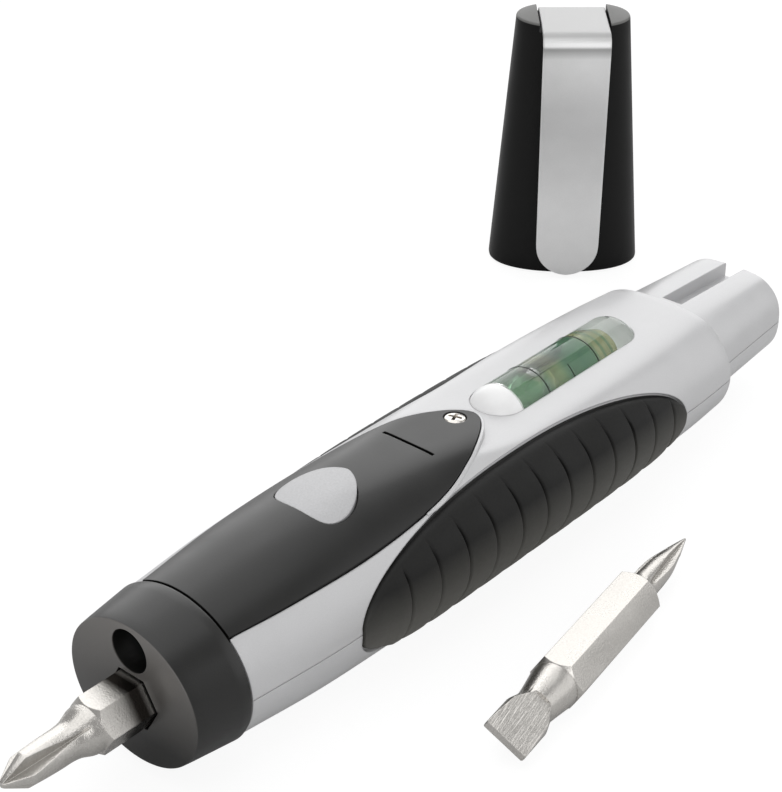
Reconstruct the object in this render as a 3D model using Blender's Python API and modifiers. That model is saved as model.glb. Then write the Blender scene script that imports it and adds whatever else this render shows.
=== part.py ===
"""Multi tool pen: torch, spirit level and bit driver, with its cap off and a spare bit beside it.

Metres, +Z up. The pen lies along X with its nose towards -X. The origin is the middle of the
flat underside, on the surface that the pen, the upright cap and the spare bit stand on.
"""
import math

import bmesh
import bpy
from mathutils import Matrix, Vector

# Driving sizes of the body. Its length and height follow from what lies inside it
BODY_WIDTH = 0.0262
BASE_CUT = 0.0006
BASE_CENTRE_SHARE = 0.507
FLAT_RISE = 0.0020
FLAT_SLOPE = math.radians(3.25)
LEVEL_RISE_SHARE = 0.3807
TIP_TO_STEP = 0.0008
STEP_LENGTH = 0.0014
SHELL_WALL = 0.0024
SHOULDER_SETBACK = 0.0094
GAP = 0.0003
OVERRUN = 0.004

STATION_SHARES = (0.0, 0.097, 0.193, 0.29, 0.386, 0.55, 0.772, 0.917, 1.0)
WIDTH_SHARES = (0.785, 0.863, 0.928, 0.954, 0.977, 0.995, 1.0, 0.989, 0.95)
HEIGHT_SHARES = (0.83, 0.893, 0.962, 1.0, 1.0, 0.991, 0.964, 0.893, 0.845)
BODY_POWER = 2.0
RING_POINTS = 38

# Tail neck, which the cap slides over, with its key groove and the bore for the spare bit
NECK_LENGTH = 0.0192
NECK_WIDTH = 0.0200
NECK_HEIGHT = 0.0146
NECK_END_SHARE = 0.86
NECK_POWER = 2.5
EDGE_ROUND = 0.0008
GROOVE_WIDTH = 0.0032
GROOVE_DEPTH = 0.0022
GROOVE_SETBACK = 0.0024
STORE_BORE = 0.0078
STORE_DROP = 0.0016
STORE_WALL = 0.0020

# Nose collar with the hexagon hole and the torch hole
COLLAR_LENGTH = 0.0076
COLLAR_PROUD = 0.0003
SPIGOT_LENGTH = 0.0026
BIT_DROP = 0.0007
HEX_ACROSS_FLATS = 0.00635
HEX_SIDES = 6
TORCH_WEB = 0.0004

# Battery cover, its nail slot and its screw
COVER_SETBACK = 0.0045
COVER_OFFSET = 0.0008
COVER_THICKNESS = 0.0013
COVER_PROUD = 0.0001
COVER_LEDGE = 0.0016
COVER_X_SHARES = (0.0, 0.19, 0.39, 0.59, 0.73, 0.84, 0.89, 0.93, 0.965, 0.99, 1.0)
COVER_Y_SHARES = (0.80, 0.93, 1.0, 0.977, 0.884, 0.70, 0.575, 0.45, 0.31, 0.16, 0.05)
WINDOW_SETBACK = 0.0027
SCREW_TO_WINDOW = 0.0036
SLOT_TO_TIP = 0.0118
SLOT_LENGTH = 0.0082
SLOT_WIDTH = 0.0005
SLOT_DEPTH = 0.0006
SCREW_TO_TIP = 0.0026
SCREW_HEAD = 0.0030
SCREW_HEAD_HEIGHT = 0.0008
SCREW_SHANK = 0.0016
SCREW_LENGTH = 0.0052
SCREW_CROSS = 0.0018
SCREW_CROSS_WIDTH = 0.0005
BOSS_WIDTH = 0.0048
BOSS_DEPTH = 0.0052
BOSS_CLEARANCE = 0.0008

# Torch button, an egg that is flush at its blunt front and proud at its round rear
BUTTON_LENGTH = 0.0091
BUTTON_SIDE_ROOM = 0.0012
BUTTON_X_SHARES = (0.0, 0.01, 0.06, 0.18, 0.38, 0.58, 0.76, 0.90, 0.975, 1.0)
BUTTON_Y_SHARES = (0.16, 0.48, 0.80, 0.97, 1.0, 0.89, 0.68, 0.41, 0.17, 0.04)
BUTTON_TILT = math.radians(7.5)
BUTTON_FLANGE = 0.0008
BUTTON_FLANGE_THICKNESS = 0.0008
BUTTON_FOOT = 0.0030
BUTTON_FOOT_DROP = 0.0005
BUTTON_TRAVEL = 0.0007

# Rubber grips on both sides
GRIP_FRONT_SETBACK = 0.0169
GRIP_REAR_SETBACK = 0.0128
GRIP_MARGIN = 0.0026
GRIP_DROP = 0.0003
GRIP_POWER = 2.3
GRIP_DEPTH = 0.0013
GRIP_EDGE_SHARE = 0.35
GRIP_PROUD = 0.0003
GRIP_RIBS = 12
GRIP_RIB_HEIGHT = 0.0006
GRIP_BOW = 0.0016
RIB_SHARES = (0.0, 0.12, 0.5, 0.9)
RIB_HEIGHT_SHARES = (-0.9, 0.55, 1.0, 0.35)
GRIP_ARC_POINTS = 9
GRIP_BACK_POINTS = 5

# Spirit level vial under the flat
VIAL_RADIUS = 0.0043
VIAL_WALL = 0.0012
VIAL_LENGTH = 0.0330
TIP_TO_VIAL = 0.0020
VIAL_PROUD = 0.00215
VIAL_PLUG_LENGTH = 0.0048
VIAL_SPIGOT = 0.0018
BUBBLE_PLACE_SHARE = 0.37
BUBBLE_LENGTH = 0.0088
BUBBLE_RADIUS = 0.0022

# Inner works
LED_LENGTH = 0.0086
LED_DIAMETER = 0.0046
LED_FLANGE = 0.0050
LED_FLANGE_LENGTH = 0.0010
LED_LEAD = 0.0005
LED_LEAD_LENGTH = 0.0040
LED_LEAD_SPACING = 0.00254
SOCKET_WALL = 0.0006
SOCKET_END_WALL = 0.0015
MAGNET_DIAMETER = 0.0060
MAGNET_LENGTH = 0.0030
BOARD_WIDTH = 0.0120
BOARD_THICKNESS = 0.0009
SWITCH_SIZE = 0.0050
SWITCH_PLACE_SHARE = 0.42
SWITCH_SETBACK = 0.0006
SWITCH_HEIGHT = 0.0014
PLUNGER_DIAMETER = 0.0024
CELL_DIAMETER = 0.0116
CELL_HEIGHT = 0.0054
CELL_STEP = 0.0003
CELL_COUNT = 3
CELL_RISE = 0.0009
CONTACT_THICKNESS = 0.0004
CONTACT_WIDTH = 0.0090
RIB_THICKNESS = 0.0013
RIB_HALF_WIDTH = 0.0070
CRADLE_SPACING_SHARES = (0.18, 0.86)
VIAL_CRADLE_SHARES = (0.2, 0.8)
VIAL_CRADLE_RISE = 0.0030

# Bits with a working end on each side of the hexagon
BIT_HEX_LENGTH = 0.02125
BIT_PROTRUSION = 0.0067
BIT_BLADE_LENGTH = 0.0120
BIT_CROSS_LENGTH = 0.0122
BIT_POINT_LENGTH = 0.0144
BIT_HEAD_RADIUS = 0.0030
BIT_NECK_RADIUS = 0.0025
BIT_TIP_RADIUS = 0.0007
BIT_POINT_RADIUS = 0.0022
BLADE_TIP_THICKNESS = 0.0010
BLADE_ROOT_THICKNESS = 0.0044
BLADE_GROUND_LENGTH = 0.0074
FLUTE_SIZE = 0.0042
POINT_FLUTE_SIZE = 0.0028

# Cap with its clip, standing by itself
CAP_PLACE = (0.0840, 0.0418)
CAP_TURN = math.radians(-49.0)
CAP_HEIGHT = 0.0426
CAP_TOP_WIDTH = 0.0182
CAP_FRONT_DEPTH = 0.0074
CAP_LEVEL_SHARES = (0.0, 0.25, 0.5, 0.75, 1.0)
CAP_FRONT_SHARES = (1.0, 0.97, 0.92, 0.86, 0.78)
CAP_REAR_SHARES = (1.0, 0.97, 0.90, 0.77, 0.60)
CAP_WALL = 0.0010
CAP_SIDE_WALL = 0.0019
CAP_SIDE_PLAY = 0.0006
CAP_TAB_FLOOR = 0.0004
CAP_POWER = 2.2
CAP_RING_POINTS = 34
CLIP_WIDTH_TOP = 0.0107
CLIP_WIDTH_END = 0.0102
CLIP_THICKNESS = 0.0008
CLIP_STAND = 0.0024
CLIP_END_STAND = 0.0016
CLIP_BEND = 0.0024
CLIP_TAB = 0.0020
CLIP_TAB_CLEARANCE = 0.0005
CLIP_FOOT = 0.0004
CLIP_SINK = 0.0002

# Spare bit lying on one of its flats
SPARE_PLACE = (-0.01274, -0.02937)
SPARE_TURN = math.radians(8.42)

# Sizes that follow from the ones above
HEX_CORNERS = HEX_ACROSS_FLATS / math.cos(math.pi / HEX_SIDES)
HEX_HOLE_CORNERS = (HEX_ACROSS_FLATS + 2 * GAP) / math.cos(math.pi / HEX_SIDES)
SOCKET_DIAMETER = HEX_HOLE_CORNERS + 2 * SOCKET_WALL
TORCH_HOLE = LED_FLANGE + 2 * GAP
TORCH_RISE = (TORCH_HOLE + HEX_ACROSS_FLATS) / 2 + GAP + TORCH_WEB
VIAL_BORE = VIAL_RADIUS - VIAL_WALL
COVER_HALF_WIDTH = BODY_WIDTH / 2 - COVER_SETBACK
BUTTON_HALF_WIDTH = COVER_HALF_WIDTH - COVER_LEDGE - BUTTON_FLANGE - BUTTON_SIDE_ROOM

# Heights: the body is as tall as the taller of two stacks, one under the button, one at the torch
SWITCH_STACK = GAP + BOARD_THICKNESS + GAP + SWITCH_HEIGHT + BUTTON_TRAVEL + GAP
BUTTON_STACK = BUTTON_FOOT_DROP + BUTTON_FLANGE_THICKNESS + COVER_THICKNESS - COVER_PROUD + 2 * GAP
MIDDLE_STACK = SOCKET_DIAMETER / 2 + GAP + SWITCH_STACK + BUTTON_STACK - BIT_DROP
TORCH_STACK = TORCH_RISE + LED_FLANGE / 2 + GAP / 2 + COVER_THICKNESS - COVER_PROUD - BIT_DROP
BODY_HEIGHT = 2 * max(MIDDLE_STACK, TORCH_STACK / HEIGHT_SHARES[1])
AXIS_HEIGHT = BODY_HEIGHT / 2 - BASE_CUT
FLAT_HEIGHT = AXIS_HEIGHT + BODY_HEIGHT / 2 + FLAT_RISE
LEVEL_HEIGHT = AXIS_HEIGHT + BODY_HEIGHT * LEVEL_RISE_SHARE
BIT_HEIGHT = AXIS_HEIGHT - BIT_DROP
TORCH_HEIGHT = BIT_HEIGHT + TORCH_RISE
STORE_HEIGHT = AXIS_HEIGHT - STORE_DROP
CELL_AXIS_HEIGHT = AXIS_HEIGHT + CELL_RISE
GRIP_HALF_HEIGHT = BODY_HEIGHT / 2 - GRIP_MARGIN
LOWER_TOP = AXIS_HEIGHT - GAP / 2
POST_TOP = BIT_HEIGHT + SOCKET_DIAMETER / 2 + GAP
BOARD_LOW = POST_TOP + GAP
BOARD_HIGH = BOARD_LOW + BOARD_THICKNESS
SWITCH_LOW = BOARD_HIGH + GAP
SWITCH_HIGH = SWITCH_LOW + SWITCH_HEIGHT
PLUNGER_LOW = SWITCH_LOW + BUTTON_TRAVEL
PLUNGER_HIGH = SWITCH_HIGH + BUTTON_TRAVEL + GAP

# Places along the pen, from the nose face back to the tail's end
SHELL_FRONT = COLLAR_LENGTH + GAP
LED_END = COLLAR_LENGTH + SPIGOT_LENGTH + GAP + LED_FLANGE_LENGTH
SOCKET_START = LED_END + GAP + CONTACT_THICKNESS
MAGNET_START = BIT_HEX_LENGTH - BIT_PROTRUSION + BIT_BLADE_LENGTH + GAP
SOCKET_END = MAGNET_START + MAGNET_LENGTH + GAP + SOCKET_END_WALL
CONTACT_FRONT = SOCKET_END + GAP + RIB_THICKNESS + GAP
CELL_START = CONTACT_FRONT + CONTACT_THICKNESS + GAP
CELL_END = CELL_START + CELL_COUNT * CELL_HEIGHT + (CELL_COUNT - 1) * CELL_STEP
CONTACT_REAR = CELL_END + GAP
REAR_WALL = CONTACT_REAR + CONTACT_THICKNESS + GAP
BOARD_START = SOCKET_START
BOARD_END = CELL_START - GAP
SWITCH_X = BOARD_END - SWITCH_SETBACK - SWITCH_SIZE / 2
BUTTON_FRONT = SWITCH_X - BUTTON_LENGTH * SWITCH_PLACE_SHARE
SCREW_X = REAR_WALL + RIB_THICKNESS + BOSS_CLEARANCE + BOSS_WIDTH / 2
WINDOW_START = SHELL_FRONT + WINDOW_SETBACK
WINDOW_END = SCREW_X - SCREW_TO_WINDOW
COVER_END = SCREW_X + SCREW_TO_TIP
SLOT_X = COVER_END - SLOT_TO_TIP
VIAL_START = COVER_END + TIP_TO_VIAL
VIAL_END = VIAL_START + VIAL_LENGTH
VIAL_DOME_CENTRE = VIAL_END - VIAL_RADIUS - GAP
VIAL_AXIS = VIAL_PROUD - VIAL_RADIUS
BUBBLE_CENTRE = VIAL_START + VIAL_LENGTH * BUBBLE_PLACE_SHARE
BODY_LENGTH = VIAL_END + SHOULDER_SETBACK
BASE_CENTRE = BODY_LENGTH * BASE_CENTRE_SHARE
GRIP_START = SHELL_FRONT + GRIP_FRONT_SETBACK
GRIP_END = BODY_LENGTH - GRIP_REAR_SETBACK
TAIL_END = BODY_LENGTH + NECK_LENGTH

# The cap goes over the neck, and the spare bit's length fits in the store and the cap together
CAP_REAR_DEPTH = NECK_HEIGHT + 2 * (GAP + CAP_WALL) - CAP_FRONT_DEPTH
CAP_BASE_WIDTH = NECK_WIDTH + 2 * (CAP_SIDE_PLAY + CAP_SIDE_WALL)
CAP_TOP_WALL = CLIP_SINK + CLIP_THICKNESS + GAP + CLIP_TAB + CAP_TAB_FLOOR
SPARE_LENGTH = BIT_BLADE_LENGTH + BIT_HEX_LENGTH + BIT_POINT_LENGTH
STORE_DEPTH = SPARE_LENGTH - (CAP_HEIGHT - CAP_TOP_WALL - NECK_LENGTH - GAP)
STORE_START = TAIL_END - STORE_DEPTH
CAVITY_END = STORE_START - STORE_WALL
CHANNEL_FLOOR = CAP_HEIGHT - CLIP_SINK - CLIP_THICKNESS - GAP
TAB_BACK = CLIP_THICKNESS * 2 - CAP_REAR_DEPTH * CAP_REAR_SHARES[-1]
CLIP_REACH = CAP_FRONT_DEPTH + CLIP_STAND
CLIP_END_REACH = CAP_FRONT_DEPTH + CLIP_END_STAND


# Scene and materials
for old in list(bpy.data.objects):
    bpy.data.objects.remove(old, do_unlink=True)

parts = bpy.data.collections.new("multi_tool_pen")
cutters = bpy.data.collections.new("cutters")
bpy.context.scene.collection.children.link(parts)
bpy.context.scene.collection.children.link(cutters)


def material(name, colour, roughness, metallic=0.0, transmission=0.0):
    """One plain Principled finish for each sub-part."""
    mat = bpy.data.materials.new(name)
    mat.use_nodes = True
    shader = mat.node_tree.nodes["Principled BSDF"]
    shader.inputs["Base Color"].default_value = (*colour, 1.0)
    shader.inputs["Roughness"].default_value = roughness
    shader.inputs["Metallic"].default_value = metallic
    shader.inputs["Transmission Weight"].default_value = transmission
    mat.diffuse_color = (*colour, 1.0)
    return mat


BLACK_PLASTIC = (0.025, 0.025, 0.024)
RUBBER = (0.018, 0.018, 0.018)
SILVER_PAINT = (0.62, 0.63, 0.64)
NICKEL = (0.70, 0.67, 0.62)
STEEL = (0.45, 0.45, 0.46)


def empty(name, place, turn=(0.0, 0.0, 0.0), parent=None):
    """A frame that pieces are parented to."""
    frame = bpy.data.objects.new(name, None)
    parts.objects.link(frame)
    frame.location = place
    frame.rotation_euler = turn
    frame.parent = parent
    return frame


pen = empty("pen_frame", (-BASE_CENTRE, 0.0, 0.0))
flat = empty("flat_frame", (0.0, 0.0, FLAT_HEIGHT), (0.0, FLAT_SLOPE, 0.0), pen)
level_flat = empty("level_frame", (0.0, 0.0, LEVEL_HEIGHT), parent=pen)
cap_stand = empty("cap_frame", (CAP_PLACE[0], CAP_PLACE[1], 0.0), (0.0, 0.0, CAP_TURN))
spare_stand = empty("spare_frame", (SPARE_PLACE[0], SPARE_PLACE[1], HEX_ACROSS_FLATS / 2),
                    (0.0, 0.0, SPARE_TURN))


def add_object(name, mesh, finish=None, parent=None, place=(0.0, 0.0, 0.0), turn=(0.0, 0.0, 0.0)):
    """Link a mesh as a part, or as a cutter when it has no finish."""
    piece = bpy.data.objects.new(name, mesh)
    if finish is None:
        cutters.objects.link(piece)
        piece.hide_render = True
        piece.display_type = "WIRE"
    else:
        parts.objects.link(piece)
        mesh.materials.clear()
        mesh.materials.append(finish)
    piece.parent = parent
    piece.location = place
    piece.rotation_euler = turn
    return piece


def finish_mesh(bm, name, origin=(0.0, 0.0, 0.0)):
    """Make a smooth-shaded mesh whose origin is the given point."""
    bmesh.ops.recalc_face_normals(bm, faces=bm.faces)
    bmesh.ops.translate(bm, verts=bm.verts, vec=-Vector(origin))
    mesh = bpy.data.meshes.new(name)
    bm.to_mesh(mesh)
    bm.free()
    mesh.shade_smooth()
    mesh.set_sharp_from_angle(angle=math.radians(35))
    return mesh


def boolean(piece, cutter, operation="DIFFERENCE"):
    """A live Boolean modifier with the exact solver."""
    step = piece.modifiers.new(f"{operation.lower()} {cutter.name}", "BOOLEAN")
    step.operation = operation
    step.object = cutter
    step.solver = "EXACT"
    return step


# Curves and outlines
def smooth_value(places, values, at):
    """Value of a smooth curve through a table of places, with slopes from its neighbours."""
    at = min(max(at, places[0]), places[-1])
    spans = [k for k in range(len(places) - 1) if places[k] <= at]
    k = spans[-1] if spans else 0
    width = places[k + 1] - places[k]
    share = (at - places[k]) / width

    def slope(j):
        low = max(j - 1, 0)
        high = min(j + 1, len(places) - 1)
        return (values[high] - values[low]) / (places[high] - places[low])

    start = slope(k) * width
    stop = slope(k + 1) * width
    rise = values[k + 1] - values[k]
    cubic = share * share * (3 - 2 * share)
    return (values[k] + rise * cubic + start * share * (1 - share) ** 2
            - stop * share * share * (1 - share))


def rounded(value, power):
    """Signed power, which turns a circle's cosine into a squarer outline's."""
    return math.copysign(abs(value) ** (2.0 / power), value)


def oval(half_width, half_height, power, points):
    """Closed outline from a round to a rounded-square oval, as pairs."""
    angles = [2 * math.pi * k / points for k in range(points)]
    return [(half_width * rounded(math.cos(a), power), half_height * rounded(math.sin(a), power))
            for a in angles]


def body_half_sizes(x, inset=0.0):
    """Half width and half height of the uncut body at a distance from the nose face."""
    share = x / BODY_LENGTH
    half_width = smooth_value(STATION_SHARES, WIDTH_SHARES, share) * BODY_WIDTH / 2
    half_height = smooth_value(STATION_SHARES, HEIGHT_SHARES, share) * BODY_HEIGHT / 2
    return half_width - inset, half_height - inset


def neck_half_sizes(share):
    """Half width and half height of the neck, by its share from the shoulder to the end."""
    taper = 1 + (NECK_END_SHARE - 1) * share
    return NECK_WIDTH / 2 * taper, NECK_HEIGHT / 2 * (1 + taper) / 2


def flat_height(x):
    """Height of the flat top above the ground at a distance from the nose face."""
    return FLAT_HEIGHT - x * math.tan(FLAT_SLOPE)


def mirrored(xs, ys):
    """Outline from a half: out along +Y and back along -Y."""
    there = list(zip(xs, ys))
    back = [(x, -y) for x, y in reversed(there)]
    return there + back


def offset_outline(outline, distance):
    """The outline moved outwards by a distance along its own normals."""
    area = sum(a[0] * b[1] - b[0] * a[1] for a, b in zip(outline, outline[1:] + outline[:1]))
    side = 1 if area > 0 else -1
    moved = []
    for k, (x, y) in enumerate(outline):
        before = Vector(outline[k - 1])
        after = Vector(outline[(k + 1) % len(outline)])
        along = (after - before).normalized()
        moved.append((x + side * distance * along.y, y - side * distance * along.x))
    return moved


# Solids
def loft(rings):
    """Closed body through rings of equally many points."""
    bm = bmesh.new()
    loops = [[bm.verts.new(point) for point in ring] for ring in rings]
    for low, high in zip(loops, loops[1:]):
        for k in range(len(low)):
            j = (k + 1) % len(low)
            bm.faces.new((low[k], low[j], high[j], high[k]))
    bm.faces.new(loops[0])
    bm.faces.new(loops[-1])
    bmesh.ops.recalc_face_normals(bm, faces=bm.faces)
    return bm


def slice_off(bm, point, normal):
    """Cut a solid flat along a plane and drop the side that the normal points to."""
    everything = list(bm.verts) + list(bm.edges) + list(bm.faces)
    cut = bmesh.ops.bisect_plane(bm, geom=everything, plane_co=point, plane_no=normal,
                                 dist=GAP / 1000, clear_outer=True)
    rim = [e for e in cut["geom_cut"] if isinstance(e, bmesh.types.BMEdge) and e.is_boundary]
    if rim:
        bmesh.ops.contextual_create(bm, geom=rim)


def body_ring(x, half_width, half_height, power, points=RING_POINTS):
    """One section of the body, seen along the pen."""
    return [(x, y, AXIS_HEIGHT + z) for y, z in oval(half_width, half_height, power, points)]


def body_stations(start, end, step):
    """Places along the body, evenly between two ends."""
    count = max(2, round((end - start) / step))
    return [start + (end - start) * k / count for k in range(count + 1)]


def body_solid(start, end, inset, step, points=RING_POINTS, base_inset=None):
    """The body's outer form between two places, inset all round, with both flats."""
    rings = []
    for x in body_stations(start, end, step):
        half_width, half_height = body_half_sizes(x, inset)
        rings.append(body_ring(x, half_width, half_height, BODY_POWER, points))
    bm = loft(rings)
    trim_flats(bm, inset, inset if base_inset is None else base_inset)
    return bm


def trim_flats(bm, inset, base_inset):
    """Cut the sloping flat top and the level flat underside."""
    normal = Vector((math.sin(FLAT_SLOPE), 0.0, math.cos(FLAT_SLOPE)))
    slice_off(bm, Vector((0.0, 0.0, FLAT_HEIGHT)) - normal * inset, normal)
    slice_off(bm, Vector((0.0, 0.0, base_inset)), Vector((0.0, 0.0, -1.0)))


def box(name, low, high, finish=None, parent=pen, turn=(0.0, 0.0, 0.0)):
    """A box between two corners."""
    bm = bmesh.new()
    bmesh.ops.create_cube(bm, size=1.0)
    size = [b - a for a, b in zip(low, high)]
    centre = [(a + b) / 2 for a, b in zip(low, high)]
    bmesh.ops.scale(bm, verts=bm.verts, vec=size)
    return add_object(name, finish_mesh(bm, name), finish, parent, centre, turn)


def rod(name, diameter, start, end, finish=None, parent=pen, height=0.0, side=0.0, sides=24):
    """A cylinder or prism that runs along X between two places."""
    bm = bmesh.new()
    bmesh.ops.create_cone(bm, cap_ends=True, segments=sides, radius1=diameter / 2,
                          radius2=diameter / 2, depth=end - start)
    bmesh.ops.rotate(bm, verts=bm.verts, matrix=Matrix.Rotation(math.pi / 2, 3, "Y"))
    place = ((start + end) / 2, side, height)
    return add_object(name, finish_mesh(bm, name), finish, parent, place)


def post(name, diameter, low, high, x, y=0.0, finish=None, parent=pen, sides=20):
    """An upright cylinder."""
    bm = bmesh.new()
    bmesh.ops.create_cone(bm, cap_ends=True, segments=sides, radius1=diameter / 2,
                          radius2=diameter / 2, depth=high - low)
    return add_object(name, finish_mesh(bm, name), finish, parent, (x, y, (low + high) / 2))


def outline_mesh(name, outline, thickness):
    """A flat filled 2D curve made thick, with its caps welded, as a mesh."""
    curve = bpy.data.curves.new(name, "CURVE")
    curve.dimensions = "2D"
    curve.fill_mode = "BOTH"
    curve.extrude = thickness / 2
    line = curve.splines.new("POLY")
    line.points.add(len(outline) - 1)
    for point, (x, y) in zip(line.points, outline):
        point.co = (x, y, 0.0, 1.0)
    line.use_cyclic_u = True
    guide = bpy.data.objects.new(name, curve)
    cutters.objects.link(guide)
    bpy.context.view_layer.update()
    graph = bpy.context.evaluated_depsgraph_get()
    mesh = bpy.data.meshes.new_from_object(guide.evaluated_get(graph))
    bpy.data.objects.remove(guide, do_unlink=True)
    bm = bmesh.new()
    bm.from_mesh(mesh)
    bmesh.ops.remove_doubles(bm, verts=bm.verts, dist=GAP / 100)
    bpy.data.meshes.remove(mesh)
    return finish_mesh(bm, name)


def prism(name, outline, low, high, finish=None, parent=pen):
    """An upright prism over an outline."""
    mesh = outline_mesh(name, outline, high - low)
    return add_object(name, mesh, finish, parent, (0.0, 0.0, (low + high) / 2))


def turned(name, profile, finish=None, parent=pen, place=(0.0, 0.0, 0.0), turn=(0.0, 0.0, 0.0),
           sides=24):
    """A turned body from a profile of radius and height, top to bottom."""
    bm = bmesh.new()
    verts = [bm.verts.new((radius, 0.0, height)) for radius, height in profile]
    for a, b in zip(verts, verts[1:]):
        bm.edges.new((a, b))
    mesh = bpy.data.meshes.new(name)
    bm.to_mesh(mesh)
    bm.free()
    piece = add_object(name, mesh, finish, parent, place, turn)
    screw = piece.modifiers.new("turn", "SCREW")
    screw.axis = "Z"
    screw.steps = sides
    screw.render_steps = sides
    screw.use_merge_vertices = True
    screw.merge_threshold = GAP / 30
    screw.use_smooth_shade = True
    return piece


ALONG_X = (0.0, math.pi / 2, 0.0)


# Outlines that several pieces share
def cover_outline(offset=0.0, front=SHELL_FRONT):
    """Battery cover seen from above, moved outwards by an offset."""
    xs = [SHELL_FRONT + (COVER_END - SHELL_FRONT) * share for share in COVER_X_SHARES]
    ys = [COVER_HALF_WIDTH * share for share in COVER_Y_SHARES]
    outline = offset_outline(mirrored(xs, ys), offset)
    return [(max(x, front) if x > COLLAR_LENGTH * 2 else front, y - COVER_OFFSET)
            for x, y in outline]


def button_outline(offset=0.0):
    """Torch button seen from above, moved outwards by an offset."""
    xs = [BUTTON_FRONT + BUTTON_LENGTH * share for share in BUTTON_X_SHARES]
    ys = [BUTTON_HALF_WIDTH * share for share in BUTTON_Y_SHARES]
    return offset_outline(mirrored(xs, ys), offset)


# Body shells
def outer_form(name, front):
    """Outer form of both shells: body, shoulder and neck in one loft."""
    rings = []
    for x in body_stations(front, BODY_LENGTH - EDGE_ROUND, BODY_LENGTH / 16):
        rings.append(body_ring(x, *body_half_sizes(x), BODY_POWER))
    for share in (0.7, 1.0):
        x = BODY_LENGTH - EDGE_ROUND * (1 - share)
        drop = EDGE_ROUND * (1 - math.sqrt(1 - (share * 0.95) ** 2))
        rings.append(body_ring(x, *body_half_sizes(x, drop), BODY_POWER))
    for share in (0.0, 0.33, 0.66, 1.0):
        x = BODY_LENGTH + (NECK_LENGTH - EDGE_ROUND) * share
        rings.append(body_ring(x, *neck_half_sizes(share), NECK_POWER))
    half_width, half_height = neck_half_sizes(1.0)
    rings.append(body_ring(BODY_LENGTH + NECK_LENGTH, half_width - EDGE_ROUND,
                           half_height - EDGE_ROUND, NECK_POWER))
    bm = loft(rings)
    slice_off(bm, Vector((0.0, 0.0, 0.0)), Vector((0.0, 0.0, -1.0)))
    return bm


def top_waste():
    """Cutter above the pen: sloping over the cover, level over the vial, sloping over the neck."""
    step = COVER_END + TIP_TO_STEP
    shoulder = BODY_LENGTH + GAP
    end = TAIL_END + OVERRUN
    high = 2 * BODY_HEIGHT
    profile = [(-OVERRUN, flat_height(-OVERRUN)), (step, flat_height(step)),
               (step + STEP_LENGTH, LEVEL_HEIGHT), (shoulder, LEVEL_HEIGHT),
               (shoulder, flat_height(shoulder)), (end, flat_height(end)),
               (end, high), (-OVERRUN, high)]
    rings = [[(x, side * BODY_WIDTH, z) for x, z in profile] for side in (-1, 1)]
    return add_object("top_waste", finish_mesh(loft(rings), "top_waste"), parent=pen)


top_cut = top_waste()
cavity =add_object("cavity", finish_mesh(body_solid(
    SHELL_FRONT - OVERRUN, CAVITY_END, SHELL_WALL, BODY_LENGTH / 10, 28), "cavity"), parent=pen)
store_bore = rod("store_bore", STORE_BORE, STORE_START, TAIL_END + OVERRUN, height=STORE_HEIGHT)
groove = box("groove", (BODY_LENGTH + GROOVE_SETBACK, -GROOVE_WIDTH / 2, -GROOVE_DEPTH),
             (TAIL_END + OVERRUN, GROOVE_WIDTH / 2, OVERRUN), parent=flat)


# The cover sits in a step of the upper shell, above a ledge round the battery opening
def cover_pocket():
    """Step in the upper shell that the cover drops into, with a gap all round."""
    depth = COVER_THICKNESS + GAP - COVER_PROUD
    above = prism("cover_pocket", cover_outline(GAP, SHELL_FRONT - OVERRUN), AXIS_HEIGHT,
                  FLAT_HEIGHT + OVERRUN)
    below = add_object("cover_pocket_floor", finish_mesh(body_solid(
        SHELL_FRONT - OVERRUN, COVER_END + OVERRUN, depth, BODY_LENGTH / 16, RING_POINTS),
        "cover_pocket_floor"), parent=pen)
    boolean(above, below)
    return above


def window_outline():
    """Battery opening, which leaves a ledge for the cover all round."""
    xs = [WINDOW_START + (WINDOW_END - WINDOW_START) * k / 8 for k in range(9)]
    ys = [COVER_HALF_WIDTH * smooth_value(COVER_X_SHARES, COVER_Y_SHARES,
                                          (x - SHELL_FRONT) / (COVER_END - SHELL_FRONT))
          - COVER_LEDGE
          for x in xs]
    return [(x, y - COVER_OFFSET) for x, y in mirrored(xs, ys)]


cover_step = cover_pocket()
battery_window = prism("battery_window", window_outline(), AXIS_HEIGHT + OVERRUN / 2,
                       FLAT_HEIGHT + OVERRUN)


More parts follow.
